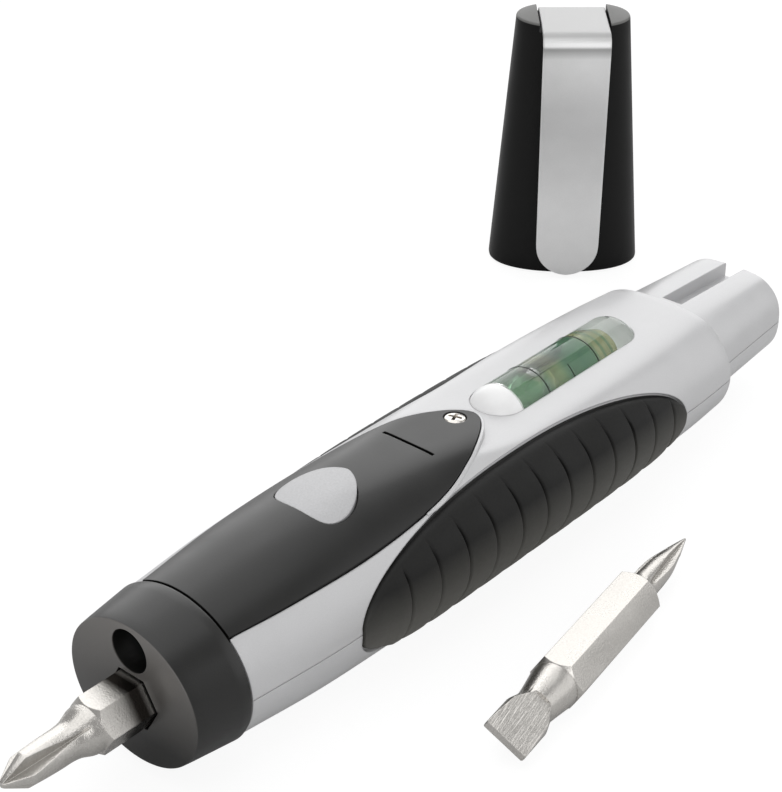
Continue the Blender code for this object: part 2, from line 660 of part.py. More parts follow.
# Grips
def grip_rings(side, inset, proud, ribbed, margin=0.0):
    """Sections of one grip: an outer arc on the body's side and a flatter inner arc."""
    length = GRIP_END - GRIP_START
    middle = (GRIP_END + GRIP_START) / 2
    centre = AXIS_HEIGHT - GRIP_DROP
    steps = []
    if ribbed:
        for rib in range(GRIP_RIBS):
            for share, height in zip(RIB_SHARES, RIB_HEIGHT_SHARES):
                steps.append(((rib + share) / GRIP_RIBS, height))
        steps[0] = (0.0, 0.0)
        steps.append((1.0, 0.0))
    else:
        count = GRIP_RIBS * 2 - 4
        steps = [((1 - math.cos(math.pi * k / count)) / 2, 0.0) for k in range(count + 1)]
    rings = []
    for share, rib_height in steps:
        along = (2 * share - 1) * 0.992
        taper = max(0.0, 1 - abs(along) ** GRIP_POWER) ** (1 / GRIP_POWER)
        x = middle + along * (length / 2 + margin)
        reach = GRIP_HALF_HEIGHT * taper + margin
        half_width, half_height = body_half_sizes(x)
        ring = []
        outer = [1 - 2 * k / (GRIP_ARC_POINTS - 1) for k in range(GRIP_ARC_POINTS)]
        inner = [2 * k / (GRIP_BACK_POINTS - 1) - 1 for k in range(GRIP_BACK_POINTS)]
        for level, is_outer in [(s, True) for s in outer] + [(s, False) for s in inner]:
            z = centre + reach * level
            sine = max(-0.97, min(0.97, (z - AXIS_HEIGHT) / half_height))
            angle = math.asin(sine)
            fade = 1 - abs(level) ** 3
            if is_outer:
                lift = proud + GRIP_RIB_HEIGHT * rib_height * fade * min(1.0, taper * 1.4)
            else:
                lift = -inset * (GRIP_EDGE_SHARE + (1 - GRIP_EDGE_SHARE) * (1 - level * level))
            ring.append((x + GRIP_BOW * (1 - level * level) * taper * (1 - along * along),
                         side * (half_width + lift) * math.cos(angle),
                         AXIS_HEIGHT + (half_height + lift) * math.sin(angle)))
        rings.append(ring)
    return rings


def grip(name, side):
    """One ribbed rubber grip."""
    finish = material(f"{name} rubber", RUBBER, 0.55)
    mesh = finish_mesh(loft(grip_rings(side, GRIP_DEPTH, GRIP_PROUD, True)), name)
    return add_object(name, mesh, finish, pen)


def grip_pocket(name, side):
    """Recess in the shells' side for one grip, with a gap all round."""
    mesh = finish_mesh(loft(grip_rings(side, GRIP_DEPTH + GAP, OVERRUN, False, GAP)), name)
    return add_object(name, mesh, parent=pen)


grip_pockets = [grip_pocket("left_grip_pocket", 1), grip_pocket("right_grip_pocket", -1)]
grip("left_grip", 1)
grip("right_grip", -1)


def make_shell(name, upper):
    """Upper or lower half of the body, hollow, split at the widest height."""
    finish = material(f"{name} paint", SILVER_PAINT, 0.35, 0.6)
    shell = add_object(name, finish_mesh(outer_form(name, SHELL_FRONT), name), finish, pen)
    boolean(shell, top_cut)
    boolean(shell, cavity)
    boolean(shell, store_bore)
    for pocket in grip_pockets:
        boolean(shell, pocket)
    return shell


lower_shell = make_shell("lower_shell", False)
upper_shell = make_shell("upper_shell", True)


def rib(name, x, top, half_width=RIB_HALF_WIDTH):
    """Upright wall across the lower shell, rooted in its floor."""
    return box(name, (x, -half_width, SHELL_WALL / 2), (x + RIB_THICKNESS, half_width, top))


keep_low = box("keep_low", (-BODY_LENGTH, -BODY_WIDTH, -BODY_HEIGHT),
               (2 * BODY_LENGTH, BODY_WIDTH, LOWER_TOP))
keep_high = box("keep_high", (-BODY_LENGTH, -BODY_WIDTH, AXIS_HEIGHT + GAP / 2),
                (2 * BODY_LENGTH, BODY_WIDTH, 2 * BODY_HEIGHT))
boolean(lower_shell, keep_low, "INTERSECT")

# Walls in the lower shell that carry the socket, the board, the cells and the vial
cradle_length = SOCKET_END - SOCKET_START
for index, share in enumerate(CRADLE_SPACING_SHARES):
    boolean(lower_shell, rib(f"socket_wall_{index + 1}", SOCKET_START + cradle_length * share,
                             POST_TOP, BOARD_WIDTH / 2), "UNION")
boolean(lower_shell, rib("front_wall", SOCKET_END + GAP, POST_TOP, CONTACT_WIDTH / 2), "UNION")
boolean(lower_shell, rib("rear_wall", REAR_WALL, POST_TOP, CONTACT_WIDTH / 2), "UNION")
cell_length = CELL_END - CELL_START
for index, share in enumerate(CRADLE_SPACING_SHARES):
    boolean(lower_shell, rib(f"cell_wall_{index + 1}", CELL_START + cell_length * share,
                             CELL_AXIS_HEIGHT - CELL_DIAMETER / 4), "UNION")
for index, share in enumerate(VIAL_CRADLE_SHARES):
    boolean(lower_shell, rib(f"vial_wall_{index + 1}", VIAL_START + VIAL_LENGTH * share,
                             AXIS_HEIGHT + VIAL_CRADLE_RISE), "UNION")

socket_bed = rod("socket_bed", SOCKET_DIAMETER + 2 * GAP, SOCKET_START - GAP, SOCKET_END + GAP / 2,
                 height=BIT_HEIGHT, sides=32)
socket_way = box("socket_way", (SOCKET_START - GAP, -(SOCKET_DIAMETER + GAP) / 2, BIT_HEIGHT),
                 (SOCKET_END + GAP / 2, (SOCKET_DIAMETER + GAP) / 2, POST_TOP + OVERRUN))
cell_bed = rod("cell_bed", CELL_DIAMETER + 2 * GAP, CELL_START, CELL_END,
               height=CELL_AXIS_HEIGHT, sides=32)


def vial_profile(radius, start, points=7):
    """Profile of a round-ended rod along the vial: from its dome down to a flat start."""
    dome = [math.pi / 2 * k / (points - 1) for k in range(points)]
    return ([(radius * math.sin(a), VIAL_DOME_CENTRE - VIAL_START + radius * math.cos(a))
             for a in dome] + [(radius, start - VIAL_START)])


def make_vial_bed(points=4):
    """Cutter for the vial's bed, round at both ends and wide open at the top."""
    radius = VIAL_RADIUS + GAP
    nose = [math.pi / 2 * k / points for k in range(1, points + 1)]
    profile = vial_profile(radius, VIAL_START + VIAL_RADIUS)
    profile += [(radius * math.cos(a), VIAL_RADIUS - radius * math.sin(a)) for a in nose]
    return turned("vial_bed", profile, None, level_flat, (VIAL_START, 0.0, VIAL_AXIS), ALONG_X, 24)


vial_bed = make_vial_bed()
for bed in (socket_bed, socket_way, cell_bed, vial_bed):
    boolean(lower_shell, bed)

# Upper shell: screw boss, cover step, battery opening and vial window
boolean(upper_shell, keep_high, "INTERSECT")
boss = post("screw_boss", BOSS_WIDTH, -SHELL_WALL - BOSS_DEPTH, -SHELL_WALL / 2, SCREW_X,
            parent=flat)
boolean(upper_shell, boss, "UNION")
boss_hole = post("boss_hole", SCREW_SHANK + 2 * GAP, -SHELL_WALL - BOSS_DEPTH - OVERRUN, OVERRUN,
                 SCREW_X, parent=flat, sides=16)
led_way = rod("led_way", LED_FLANGE + 2 * GAP, SHELL_FRONT - OVERRUN, LED_END + GAP,
              height=TORCH_HEIGHT)
for cutter in (cover_step, battery_window, led_way, vial_bed, groove, boss_hole):
    boolean(upper_shell, cutter)


# Nose collar with a spigot inside the shells
def make_collar():
    """Black nose ring with a closed front, the torch hole and the hexagon hole."""
    rings = []
    for x, inset in ((0.0, EDGE_ROUND * 0.6), (EDGE_ROUND * 0.2, EDGE_ROUND * 0.25),
                     (EDGE_ROUND * 0.6, 0.0)):
        rings.append(body_ring(x, *body_half_sizes(x, inset), BODY_POWER))
    for share in (0.35, 0.7, 1.0):
        x = COLLAR_LENGTH * share
        rings.append(body_ring(x, *body_half_sizes(x, -COLLAR_PROUD * share), BODY_POWER))
    for x in (COLLAR_LENGTH, COLLAR_LENGTH + SPIGOT_LENGTH):
        rings.append(body_ring(x, *body_half_sizes(x, SHELL_WALL + GAP), BODY_POWER))
    finish = material("nose_collar plastic", BLACK_PLASTIC, 0.38)
    collar = add_object("nose_collar", finish_mesh(loft(rings), "nose_collar"), finish, pen)
    end = COLLAR_LENGTH + SPIGOT_LENGTH + OVERRUN
    boolean(collar, rod("torch_hole", TORCH_HOLE, -OVERRUN, end, height=TORCH_HEIGHT))
    boolean(collar, rod("hex_hole", HEX_HOLE_CORNERS, -OVERRUN, end, height=BIT_HEIGHT,
                        sides=HEX_SIDES))


make_collar()


# Battery cover with its button hole, nail slot and countersink
def make_cover():
    """Curved cover that follows the body, cut from its outer form."""
    finish = material("battery_cover plastic", BLACK_PLASTIC, 0.36)
    skin = body_solid(SHELL_FRONT, COVER_END + OVERRUN, -COVER_PROUD, BODY_LENGTH / 18)
    cover = add_object("battery_cover", finish_mesh(skin, "battery_cover"), finish, pen)
    below = add_object("cover_underside", finish_mesh(body_solid(
        SHELL_FRONT - OVERRUN, COVER_END + 2 * OVERRUN, COVER_THICKNESS - COVER_PROUD,
        BODY_LENGTH / 16), "cover_underside"), parent=pen)
    boolean(cover, below)
    boolean(cover, prism("cover_shape", cover_outline(), AXIS_HEIGHT + OVERRUN / 2,
                         FLAT_HEIGHT + OVERRUN), "INTERSECT")
    boolean(cover, prism("button_hole", button_outline(GAP), AXIS_HEIGHT, FLAT_HEIGHT + OVERRUN))
    boolean(cover, box("nail_slot", (SLOT_X - SLOT_WIDTH / 2, -SLOT_LENGTH / 2, -SLOT_DEPTH),
                       (SLOT_X + SLOT_WIDTH / 2, SLOT_LENGTH / 2, OVERRUN), parent=flat))
    boolean(cover, post("screw_seat", SCREW_HEAD + 2 * GAP, -SCREW_HEAD_HEIGHT - GAP, OVERRUN,
                        SCREW_X, parent=flat))
    boolean(cover, post("screw_passage", SCREW_SHANK + 2 * GAP, -OVERRUN, OVERRUN, SCREW_X,
                        parent=flat, sides=16))


make_cover()


def make_cover_screw():
    """Pan-head screw with a cross recess, its head flush in the cover."""
    head = SCREW_HEAD / 2
    shank = SCREW_SHANK / 2
    profile = [(0.0, COVER_PROUD), (head * 0.55, COVER_PROUD * 0.8), (head * 0.85, -COVER_PROUD),
               (head, -COVER_PROUD * 3), (head, -SCREW_HEAD_HEIGHT), (shank, -SCREW_HEAD_HEIGHT),
               (shank, -SCREW_LENGTH + shank), (shank * 0.3, -SCREW_LENGTH), (0.0, -SCREW_LENGTH)]
    finish = material("cover_screw nickel", NICKEL, 0.25, 1.0)
    screw = turned("cover_screw", profile, finish, flat, (SCREW_X, 0.0, 0.0), sides=20)
    for index in range(2):
        long_half = SCREW_CROSS / 2
        thin_half = SCREW_CROSS_WIDTH / 2
        reach = (long_half, thin_half) if index == 0 else (thin_half, long_half)
        boolean(screw, box(f"screw_cross_{index + 1}",
                           (SCREW_X - reach[0], -reach[1], -SCREW_HEAD_HEIGHT / 2),
                           (SCREW_X + reach[0], reach[1], OVERRUN), parent=flat))


make_cover_screw()


# Torch button: its head follows the body tilted up at the rear, its flange lies under the cover
def make_button():
    """Silver egg-shaped button with a flange and a foot."""
    origin = Vector((SWITCH_X, 0.0, BUTTON_SEAT))
    head = body_solid(BUTTON_FRONT - OVERRUN, BUTTON_FRONT + BUTTON_LENGTH + OVERRUN, 0.0,
                      BODY_LENGTH / 30)
    pivot = Vector((BUTTON_FRONT, 0.0, AXIS_HEIGHT + body_half_sizes(BUTTON_FRONT)[1]))
    bmesh.ops.rotate(head, verts=head.verts, cent=pivot, matrix=Matrix.Rotation(-BUTTON_TILT, 3, "Y"))
    finish = material("switch_button paint", SILVER_PAINT, 0.38, 0.6)
    button = add_object("switch_button", finish_mesh(head, "switch_button", origin), finish, pen,
                        origin)
    boolean(button, prism("button_shape", button_outline(), AXIS_HEIGHT + OVERRUN / 2,
                          FLAT_HEIGHT + OVERRUN), "INTERSECT")
    skirt = add_object("button_skirt", finish_mesh(body_solid(
        BUTTON_FRONT - OVERRUN / 2, BUTTON_FRONT + BUTTON_LENGTH + OVERRUN / 2,
        COVER_THICKNESS - COVER_PROUD + GAP, BODY_LENGTH / 30), "button_skirt"), parent=pen)
    boolean(skirt, prism("skirt_shape", button_outline(BUTTON_FLANGE), AXIS_HEIGHT,
                         FLAT_HEIGHT + OVERRUN), "INTERSECT")
    boolean(button, skirt, "UNION")
    under = add_object("button_underside", finish_mesh(body_solid(
        BUTTON_FRONT - OVERRUN, BUTTON_FRONT + BUTTON_LENGTH + OVERRUN,
        COVER_THICKNESS - COVER_PROUD + GAP + BUTTON_FLANGE_THICKNESS, BODY_LENGTH / 30),
        "button_underside"), parent=pen)
    boolean(button, under)
    boolean(button, post("button_foot", BUTTON_FOOT, PLUNGER_HIGH + GAP, BUTTON_SEAT, SWITCH_X),
            "UNION")


BUTTON_SEAT = (AXIS_HEIGHT + body_half_sizes(SWITCH_X)[1] - COVER_THICKNESS + COVER_PROUD - GAP
               - BUTTON_FLANGE_THICKNESS / 2)
make_button()


# Switch, board, light and cells
def make_works():
    """The electric parts inside the pen."""
    board = material("circuit_board laminate", (0.05, 0.22, 0.09), 0.5)
    box("circuit_board", (BOARD_START, -BOARD_WIDTH / 2, BOARD_LOW),
        (BOARD_END, BOARD_WIDTH / 2, BOARD_HIGH), board)
    case = material("push_switch case", (0.03, 0.03, 0.03), 0.45)
    half = SWITCH_SIZE / 2
    switch = box("push_switch", (SWITCH_X - half, -half, SWITCH_LOW),
                 (SWITCH_X + half, half, SWITCH_HIGH), case)
    boolean(switch, post("plunger_bore", PLUNGER_DIAMETER + 2 * GAP, SWITCH_LOW - OVERRUN,
                         SWITCH_HIGH + OVERRUN, SWITCH_X))
    post("switch_plunger", PLUNGER_DIAMETER, PLUNGER_LOW, PLUNGER_HIGH, SWITCH_X,
         finish=material("switch_plunger plastic", (0.6, 0.6, 0.58), 0.5))
    cell = material("button_cell steel", STEEL, 0.25, 1.0)
    for index in range(CELL_COUNT):
        start = CELL_START + index * (CELL_HEIGHT + CELL_STEP)
        rod(f"button_cell_{index + 1}", CELL_DIAMETER, start, start + CELL_HEIGHT, cell,
            height=CELL_AXIS_HEIGHT, sides=28)
    brass = material("battery_contact spring brass", (0.72, 0.55, 0.25), 0.3, 1.0)
    low = SHELL_WALL + GAP
    for name, x in (("battery_contact_front", CONTACT_FRONT), ("battery_contact_rear", CONTACT_REAR)):
        box(name, (x, -CONTACT_WIDTH / 2, low + GROOVE_DEPTH), (x + CONTACT_THICKNESS,
            CONTACT_WIDTH / 2, POST_TOP), brass)


make_works()


def make_led():
    """Round torch light with its flange and two leads."""
    radius = LED_DIAMETER / 2
    dome = [(radius * math.sin(a), LED_LENGTH - radius + radius * math.cos(a))
            for a in [math.pi / 2 * k / 5 for k in range(6)]]
    flange = LED_FLANGE / 2
    profile = dome + [(radius, LED_FLANGE_LENGTH), (flange, LED_FLANGE_LENGTH), (flange, 0.0),
                      (0.0, 0.0)]
    finish = material("led lens", (0.85, 0.87, 0.9), 0.05, 0.0, 0.8)
    led = turned("led", profile, finish, pen, (LED_END, 0.0, TORCH_HEIGHT),
                 (0.0, -math.pi / 2, 0.0), 20)
    for index, side in enumerate((-1, 1)):
        lead = rod(f"led_lead_{index + 1}", LED_LEAD, LED_END - LED_FLANGE_LENGTH / 2,
                   LED_END + LED_LEAD_LENGTH, height=TORCH_HEIGHT,
                   side=side * LED_LEAD_SPACING / 2, sides=8)
        boolean(led, lead, "UNION")


make_led()


def make_socket():
    """Steel sleeve with a hexagon bore and a magnet at its closed end."""
    finish = material("bit_socket steel", STEEL, 0.3, 1.0)
    sleeve = rod("bit_socket", SOCKET_DIAMETER, SOCKET_START, SOCKET_END, finish,
                 height=BIT_HEIGHT, sides=32)
    boolean(sleeve, rod("socket_bore", HEX_HOLE_CORNERS, SOCKET_START - OVERRUN,
                        SOCKET_END - SOCKET_END_WALL, height=BIT_HEIGHT, sides=HEX_SIDES))
    magnet = material("socket_magnet ferrite", (0.1, 0.1, 0.11), 0.4, 0.5)
    rod("socket_magnet", MAGNET_DIAMETER, MAGNET_START, MAGNET_START + MAGNET_LENGTH, magnet,
        height=BIT_HEIGHT)


make_socket()


# Vial: clear tube with a round rear end, its liquid with the bubble left out, and a white plug
def make_vial():
    """Spirit level vial, lying along the flat top."""
    start = VIAL_START + VIAL_PLUG_LENGTH
    outside = vial_profile(VIAL_RADIUS, start)
    clear = material("vial_tube acrylic", (0.95, 0.97, 0.95), 0.03, 0.0, 0.95)
    place = (VIAL_START, 0.0, VIAL_AXIS)
    turned("vial_tube", outside + vial_profile(VIAL_BORE, start)[::-1], clear, level_flat, place,
           ALONG_X, 24)
    fill = VIAL_BORE - GAP
    liquid_start = start + VIAL_SPIGOT + GAP
    green = material("vial_liquid green", (0.05, 0.45, 0.2), 0.05, 0.0, 0.8)
    liquid = turned("vial_liquid", vial_profile(fill, liquid_start)
                    + [(0.0, liquid_start - VIAL_START)], green, level_flat, place, ALONG_X, 24)
    half = BUBBLE_LENGTH / 2
    swell = [math.pi * k / 10 for k in range(11)]
    bubble = turned("bubble", [(BUBBLE_RADIUS * math.sin(a), half * math.cos(a)) for a in swell],
                    None, level_flat, (BUBBLE_CENTRE, 0.0, VIAL_AXIS + fill - BUBBLE_RADIUS * 0.55),
                    ALONG_X, 20)
    boolean(liquid, bubble)
    spigot = VIAL_BORE - GAP
    arc = [math.pi / 2 * k / 6 for k in range(7)]
    nose = [(VIAL_RADIUS * math.sin(a), VIAL_PLUG_LENGTH - GAP - VIAL_RADIUS * (1 - math.cos(a)))
            for a in arc]
    profile = nose + [(VIAL_RADIUS, 0.0), (spigot, 0.0), (spigot, -VIAL_SPIGOT), (0.0, -VIAL_SPIGOT)]
    white = material("vial_plug plastic", (0.8, 0.8, 0.8), 0.25)
    turned("vial_plug", profile, white, level_flat, (start - GAP, 0.0, VIAL_AXIS),
           (0.0, -math.pi / 2, 0.0), 28)


make_vial()


# Bits
def hex_body(name, finish, parent, place):
    """The hexagon of a bit with both ends turned to a cone, along X from its own start."""
    bm = bmesh.new()
    bmesh.ops.create_cone(bm, cap_ends=True, segments=HEX_SIDES, radius1=HEX_CORNERS / 2,
                          radius2=HEX_CORNERS / 2, depth=BIT_HEX_LENGTH)
    bmesh.ops.rotate(bm, verts=bm.verts, matrix=Matrix.Rotation(math.pi / 2, 3, "Y"))
    bmesh.ops.translate(bm, verts=bm.verts, vec=(BIT_HEX_LENGTH / 2, 0.0, 0.0))
    return add_object(name, finish_mesh(bm, name), finish, parent, place)


def bit_end(name, parent, place, length, head, tip, outwards, neck=BIT_NECK_RADIUS):
    """Turned working end that grows out of the hexagon's end face."""
    root = HEX_ACROSS_FLATS / 2
    profile = [(0.0, length), (tip, length), (head * 0.62 + tip * 0.38, length * 0.84),
               (head, length * 0.55), (neck, length * 0.3), (neck * 1.05, length * 0.22),
               (root * 0.97, length * 0.05), (root, -root), (0.0, -root)]
    turn = (0.0, outwards * math.pi / 2, 0.0)
    return turned(name, profile, None, parent, place, turn, 24)


def blade_end(name, parent, place, outwards):
    """Turned end whose two ground faces leave a flat blade."""
    root = HEX_ACROSS_FLATS / 2
    length = BIT_BLADE_LENGTH
    profile = [(0.0, length), (BIT_HEAD_RADIUS, length), (BIT_HEAD_RADIUS, length * 0.62),
               (BIT_NECK_RADIUS, length * 0.42), (BIT_NECK_RADIUS * 1.04, length * 0.36),
               (root * 0.97, length * 0.08), (root, -root), (0.0, -root)]
    end = turned(name, profile, None, parent, place, (0.0, outwards * math.pi / 2, 0.0), 24)
    slope = math.atan2((BLADE_ROOT_THICKNESS - BLADE_TIP_THICKNESS) / 2, BLADE_GROUND_LENGTH)
    for index, side in enumerate((1, -1)):
        bm = bmesh.new()
        bmesh.ops.create_cube(bm, size=1.0)
        bmesh.ops.scale(bm, verts=bm.verts, vec=(BLADE_GROUND_LENGTH * 2, HEX_CORNERS, HEX_CORNERS))
        bmesh.ops.translate(bm, verts=bm.verts, vec=(-BLADE_GROUND_LENGTH, 0.0, HEX_CORNERS / 2))
        bmesh.ops.rotate(bm, verts=bm.verts, matrix=Matrix.Rotation(slope, 3, "Y"))
        bmesh.ops.translate(bm, verts=bm.verts, vec=(0.0, 0.0, BLADE_TIP_THICKNESS / 2))
        bmesh.ops.rotate(bm, verts=bm.verts, matrix=Matrix.Rotation(math.pi * index, 3, "X"))
        bmesh.ops.translate(bm, verts=bm.verts, vec=(length, 0.0, 0.0))
        if outwards < 0:
            bmesh.ops.rotate(bm, verts=bm.verts, matrix=Matrix.Rotation(math.pi, 3, "Z"))
        grind = add_object(f"{name}_grind_{index + 1}", finish_mesh(bm, name), None, parent, place)
        boolean(end, grind)
    return end


def flutes(end, name, parent, place, length, head, tip, outwards, size):
    """Four square-edged flutes that leave the wings of a cross tip."""
    lean = math.atan2(head * 0.72 - tip * 0.5, length * 0.62)
    for index in range(4):
        bm = bmesh.new()
        bmesh.ops.create_cube(bm, size=1.0)
        bmesh.ops.scale(bm, verts=bm.verts, vec=(length * 1.4, size, size))
        bmesh.ops.rotate(bm, verts=bm.verts, matrix=Matrix.Rotation(math.pi / 4, 3, "X"))
        bmesh.ops.translate(bm, verts=bm.verts,
                            vec=(-length * 0.45, 0.0, size * math.sqrt(0.5) + tip * 0.5))
        bmesh.ops.rotate(bm, verts=bm.verts, matrix=Matrix.Rotation(lean, 3, "Y"))
        bmesh.ops.rotate(bm, verts=bm.verts,
                         matrix=Matrix.Rotation(math.pi / 4 + math.pi / 2 * index, 3, "X"))
        bmesh.ops.translate(bm, verts=bm.verts, vec=(length, 0.0, 0.0))
        if outwards < 0:
            bmesh.ops.rotate(bm, verts=bm.verts, matrix=Matrix.Rotation(math.pi, 3, "Z"))
        cutter = add_object(f"{name}_{index + 1}", finish_mesh(bm, name), None, parent, place)
        boolean(end, cutter)


def make_driver_bit():
    """Bit in the nose: a cross tip outside and a blade inside the socket."""
    finish = material("driver_bit nickel", NICKEL, 0.22, 1.0)
    start = (-BIT_PROTRUSION, 0.0, BIT_HEIGHT)
    rear = (-BIT_PROTRUSION + BIT_HEX_LENGTH, 0.0, BIT_HEIGHT)
    bit = hex_body("driver_bit", finish, pen, start)
    cross = bit_end("driver_cross", pen, start, BIT_CROSS_LENGTH, BIT_HEAD_RADIUS, BIT_TIP_RADIUS, -1)
    flutes(cross, "driver_flute", pen, start, BIT_CROSS_LENGTH, BIT_HEAD_RADIUS, BIT_TIP_RADIUS,
           -1, FLUTE_SIZE)
    boolean(bit, cross, "UNION")
    boolean(bit, blade_end("driver_blade", pen, rear, 1), "UNION")


def make_spare_bit():
    """Spare bit on the table: a blade at one end and a fine cross point at the other."""
    finish = material("spare_bit nickel", NICKEL, 0.22, 1.0)
    start = (0.0, 0.0, 0.0)
    rear = (BIT_HEX_LENGTH, 0.0, 0.0)
    bit = hex_body("spare_bit", finish, spare_stand, start)
    boolean(bit, blade_end("spare_blade", spare_stand, start, -1), "UNION")
    point = bit_end("spare_point", spare_stand, rear, BIT_POINT_LENGTH, BIT_POINT_RADIUS,
                    BIT_TIP_RADIUS / 2, 1, BIT_POINT_RADIUS * 0.85)
    flutes(point, "spare_flute", spare_stand, rear, BIT_POINT_LENGTH, BIT_POINT_RADIUS,
           BIT_TIP_RADIUS / 2, 1, POINT_FLUTE_SIZE)
    boolean(bit, point, "UNION")


make_driver_bit()
make_spare_bit()


# Cap: a tapering oval shell, open below, with a channel over its top for the clip
def cap_sizes(height):
    """Half width, front depth and rear depth of the cap at a height."""
    share = height / CAP_HEIGHT
    half_width = (CAP_BASE_WIDTH + (CAP_TOP_WIDTH - CAP_BASE_WIDTH) * share) / 2
    front = CAP_FRONT_DEPTH * smooth_value(CAP_LEVEL_SHARES, CAP_FRONT_SHARES, share)
    rear = CAP_REAR_DEPTH * smooth_value(CAP_LEVEL_SHARES, CAP_REAR_SHARES, share)
    return half_width, front, rear


def cap_loft(heights_and_insets, points=CAP_RING_POINTS):
    """Closed loft of cap sections, wide along X, with the shallow front towards -Y."""
    rings = []
    for height, side_inset, inset in heights_and_insets:
        half_width, front, rear = cap_sizes(height)
        outline = oval(half_width - side_inset, 1.0, CAP_POWER, points)
        rings.append([(x, y * ((rear if y > 0 else front) - inset), height) for x, y in outline])
    return loft(rings)


def make_cap():
    """The cap without its clip; its front faces -Y of its own frame."""
    finish = material("cap_shell plastic", BLACK_PLASTIC, 0.4)
    round_off = EDGE_ROUND / 2
    levels = [CAP_HEIGHT * share for share in CAP_LEVEL_SHARES[1:-1]]
    body = cap_loft([(0.0, round_off, round_off), (round_off, 0.0, 0.0)]
                    + [(level, 0.0, 0.0) for level in levels]
                    + [(CAP_HEIGHT - round_off, 0.0, 0.0), (CAP_HEIGHT, round_off, round_off)])
    cap = add_object("cap_shell", finish_mesh(body, "cap_shell"), finish, cap_stand)
    inside = cap_loft([(-OVERRUN, CAP_SIDE_WALL, CAP_WALL)]
                      + [(level, CAP_SIDE_WALL, CAP_WALL) for level in levels]
                      + [(CAP_HEIGHT - CAP_TOP_WALL, CAP_SIDE_WALL, CAP_WALL)], 28)
    boolean(cap, add_object("cap_inside", finish_mesh(inside, "cap_inside"), parent=cap_stand))
    half = CLIP_WIDTH_TOP / 2 + GAP
    boolean(cap, box("clip_channel", (-half, -2 * CAP_FRONT_DEPTH, CHANNEL_FLOOR),
                     (half, 2 * CAP_REAR_DEPTH, CAP_HEIGHT + OVERRUN), parent=cap_stand))
    play = CLIP_TAB_CLEARANCE
    boolean(cap, box("clip_tab_slot",
                     (-half, -TAB_BACK - CLIP_THICKNESS - play, CHANNEL_FLOOR - CLIP_TAB),
                     (half, -TAB_BACK + play, CHANNEL_FLOOR + OVERRUN), parent=cap_stand))


make_cap()


def clip_side_profile():
    """Side view of the clip: tab, top strip, bend and long arm, as (forward, height) pairs."""
    top = CAP_HEIGHT - CLIP_SINK
    thick = CLIP_THICKNESS
    back = TAB_BACK
    bend_centre = (CLIP_REACH - CLIP_BEND, top - CLIP_BEND)
    angles = [math.pi / 2 * (1 - k / 6) for k in range(7)]
    outer = [(bend_centre[0] + CLIP_BEND * math.cos(a), bend_centre[1] + CLIP_BEND * math.sin(a))
             for a in angles]
    inner_bend = CLIP_BEND - thick
    inner = [(bend_centre[0] + inner_bend * math.cos(a), bend_centre[1] + inner_bend * math.sin(a))
             for a in reversed(angles)]
    tab_low = CHANNEL_FLOOR - CLIP_TAB + GAP
    return ([(back, tab_low), (back, top)] + outer
            + [(CLIP_END_REACH, CLIP_FOOT), (CLIP_END_REACH - thick, CLIP_FOOT)] + inner
            + [(back + thick, top - thick), (back + thick, tab_low)])


def clip_front_outline():
    """Front view of the clip: a slightly tapering strip with a round lower end."""
    end = CLIP_WIDTH_END / 2
    top = CLIP_WIDTH_TOP / 2
    arc = [math.pi * k / 14 for k in range(15)]
    low = [(-end * math.cos(a), CLIP_FOOT + end * (1 - math.sin(a))) for a in arc]
    return low + [(top, CAP_HEIGHT), (top, CAP_HEIGHT + OVERRUN), (-top, CAP_HEIGHT + OVERRUN),
                  (-top, CAP_HEIGHT)]


def make_clip():
    """Sprung metal clip, turned about the top of its tab."""
    root = Vector((TAB_BACK + CLIP_THICKNESS / 2, CAP_HEIGHT - CLIP_SINK - CLIP_THICKNESS / 2))
    profile = [(x - root.x, z - root.y) for x, z in clip_side_profile()]
    finish = material("pocket_clip satin metal", SILVER_PAINT, 0.3, 0.9)
    mesh = outline_mesh("pocket_clip", profile, CLIP_WIDTH_TOP + OVERRUN)
    upright = Matrix.Rotation(-math.pi / 2, 4, "Z") @ Matrix.Rotation(math.pi / 2, 4, "X")
    mesh.transform(upright)
    clip = add_object("pocket_clip", mesh, finish, cap_stand, (0.0, -root.x, root.y))
    front = outline_mesh("clip_front", clip_front_outline(), CAP_REAR_DEPTH * 4)
    front.transform(Matrix.Rotation(math.pi / 2, 4, "X"))
    boolean(clip, add_object("clip_front", front, parent=cap_stand), "INTERSECT")


make_clip()

bpy.context.view_layer.update()
for piece in parts.objects:
    if piece.type == "MESH":
        print(piece.name, [round(v * 1000, 2) for v in piece.dimensions])
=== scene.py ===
# %% [markdown]
# # A multi tool pen in Blender
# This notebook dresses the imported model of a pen-shaped hand tool: a torch and a bit driver in
# the nose, a battery cover with a torch button, two ribbed rubber grips, a spirit level in the
# flat top, a cap with a clip that stands beside it, and a spare bit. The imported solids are
# coarse and plain. Each one that shows is made again here with fine curves, soft rims and its
# own finish, in exactly the same place.

# %% Load the frame
import math

import bmesh
import bpy
from mathutils import Matrix, Vector


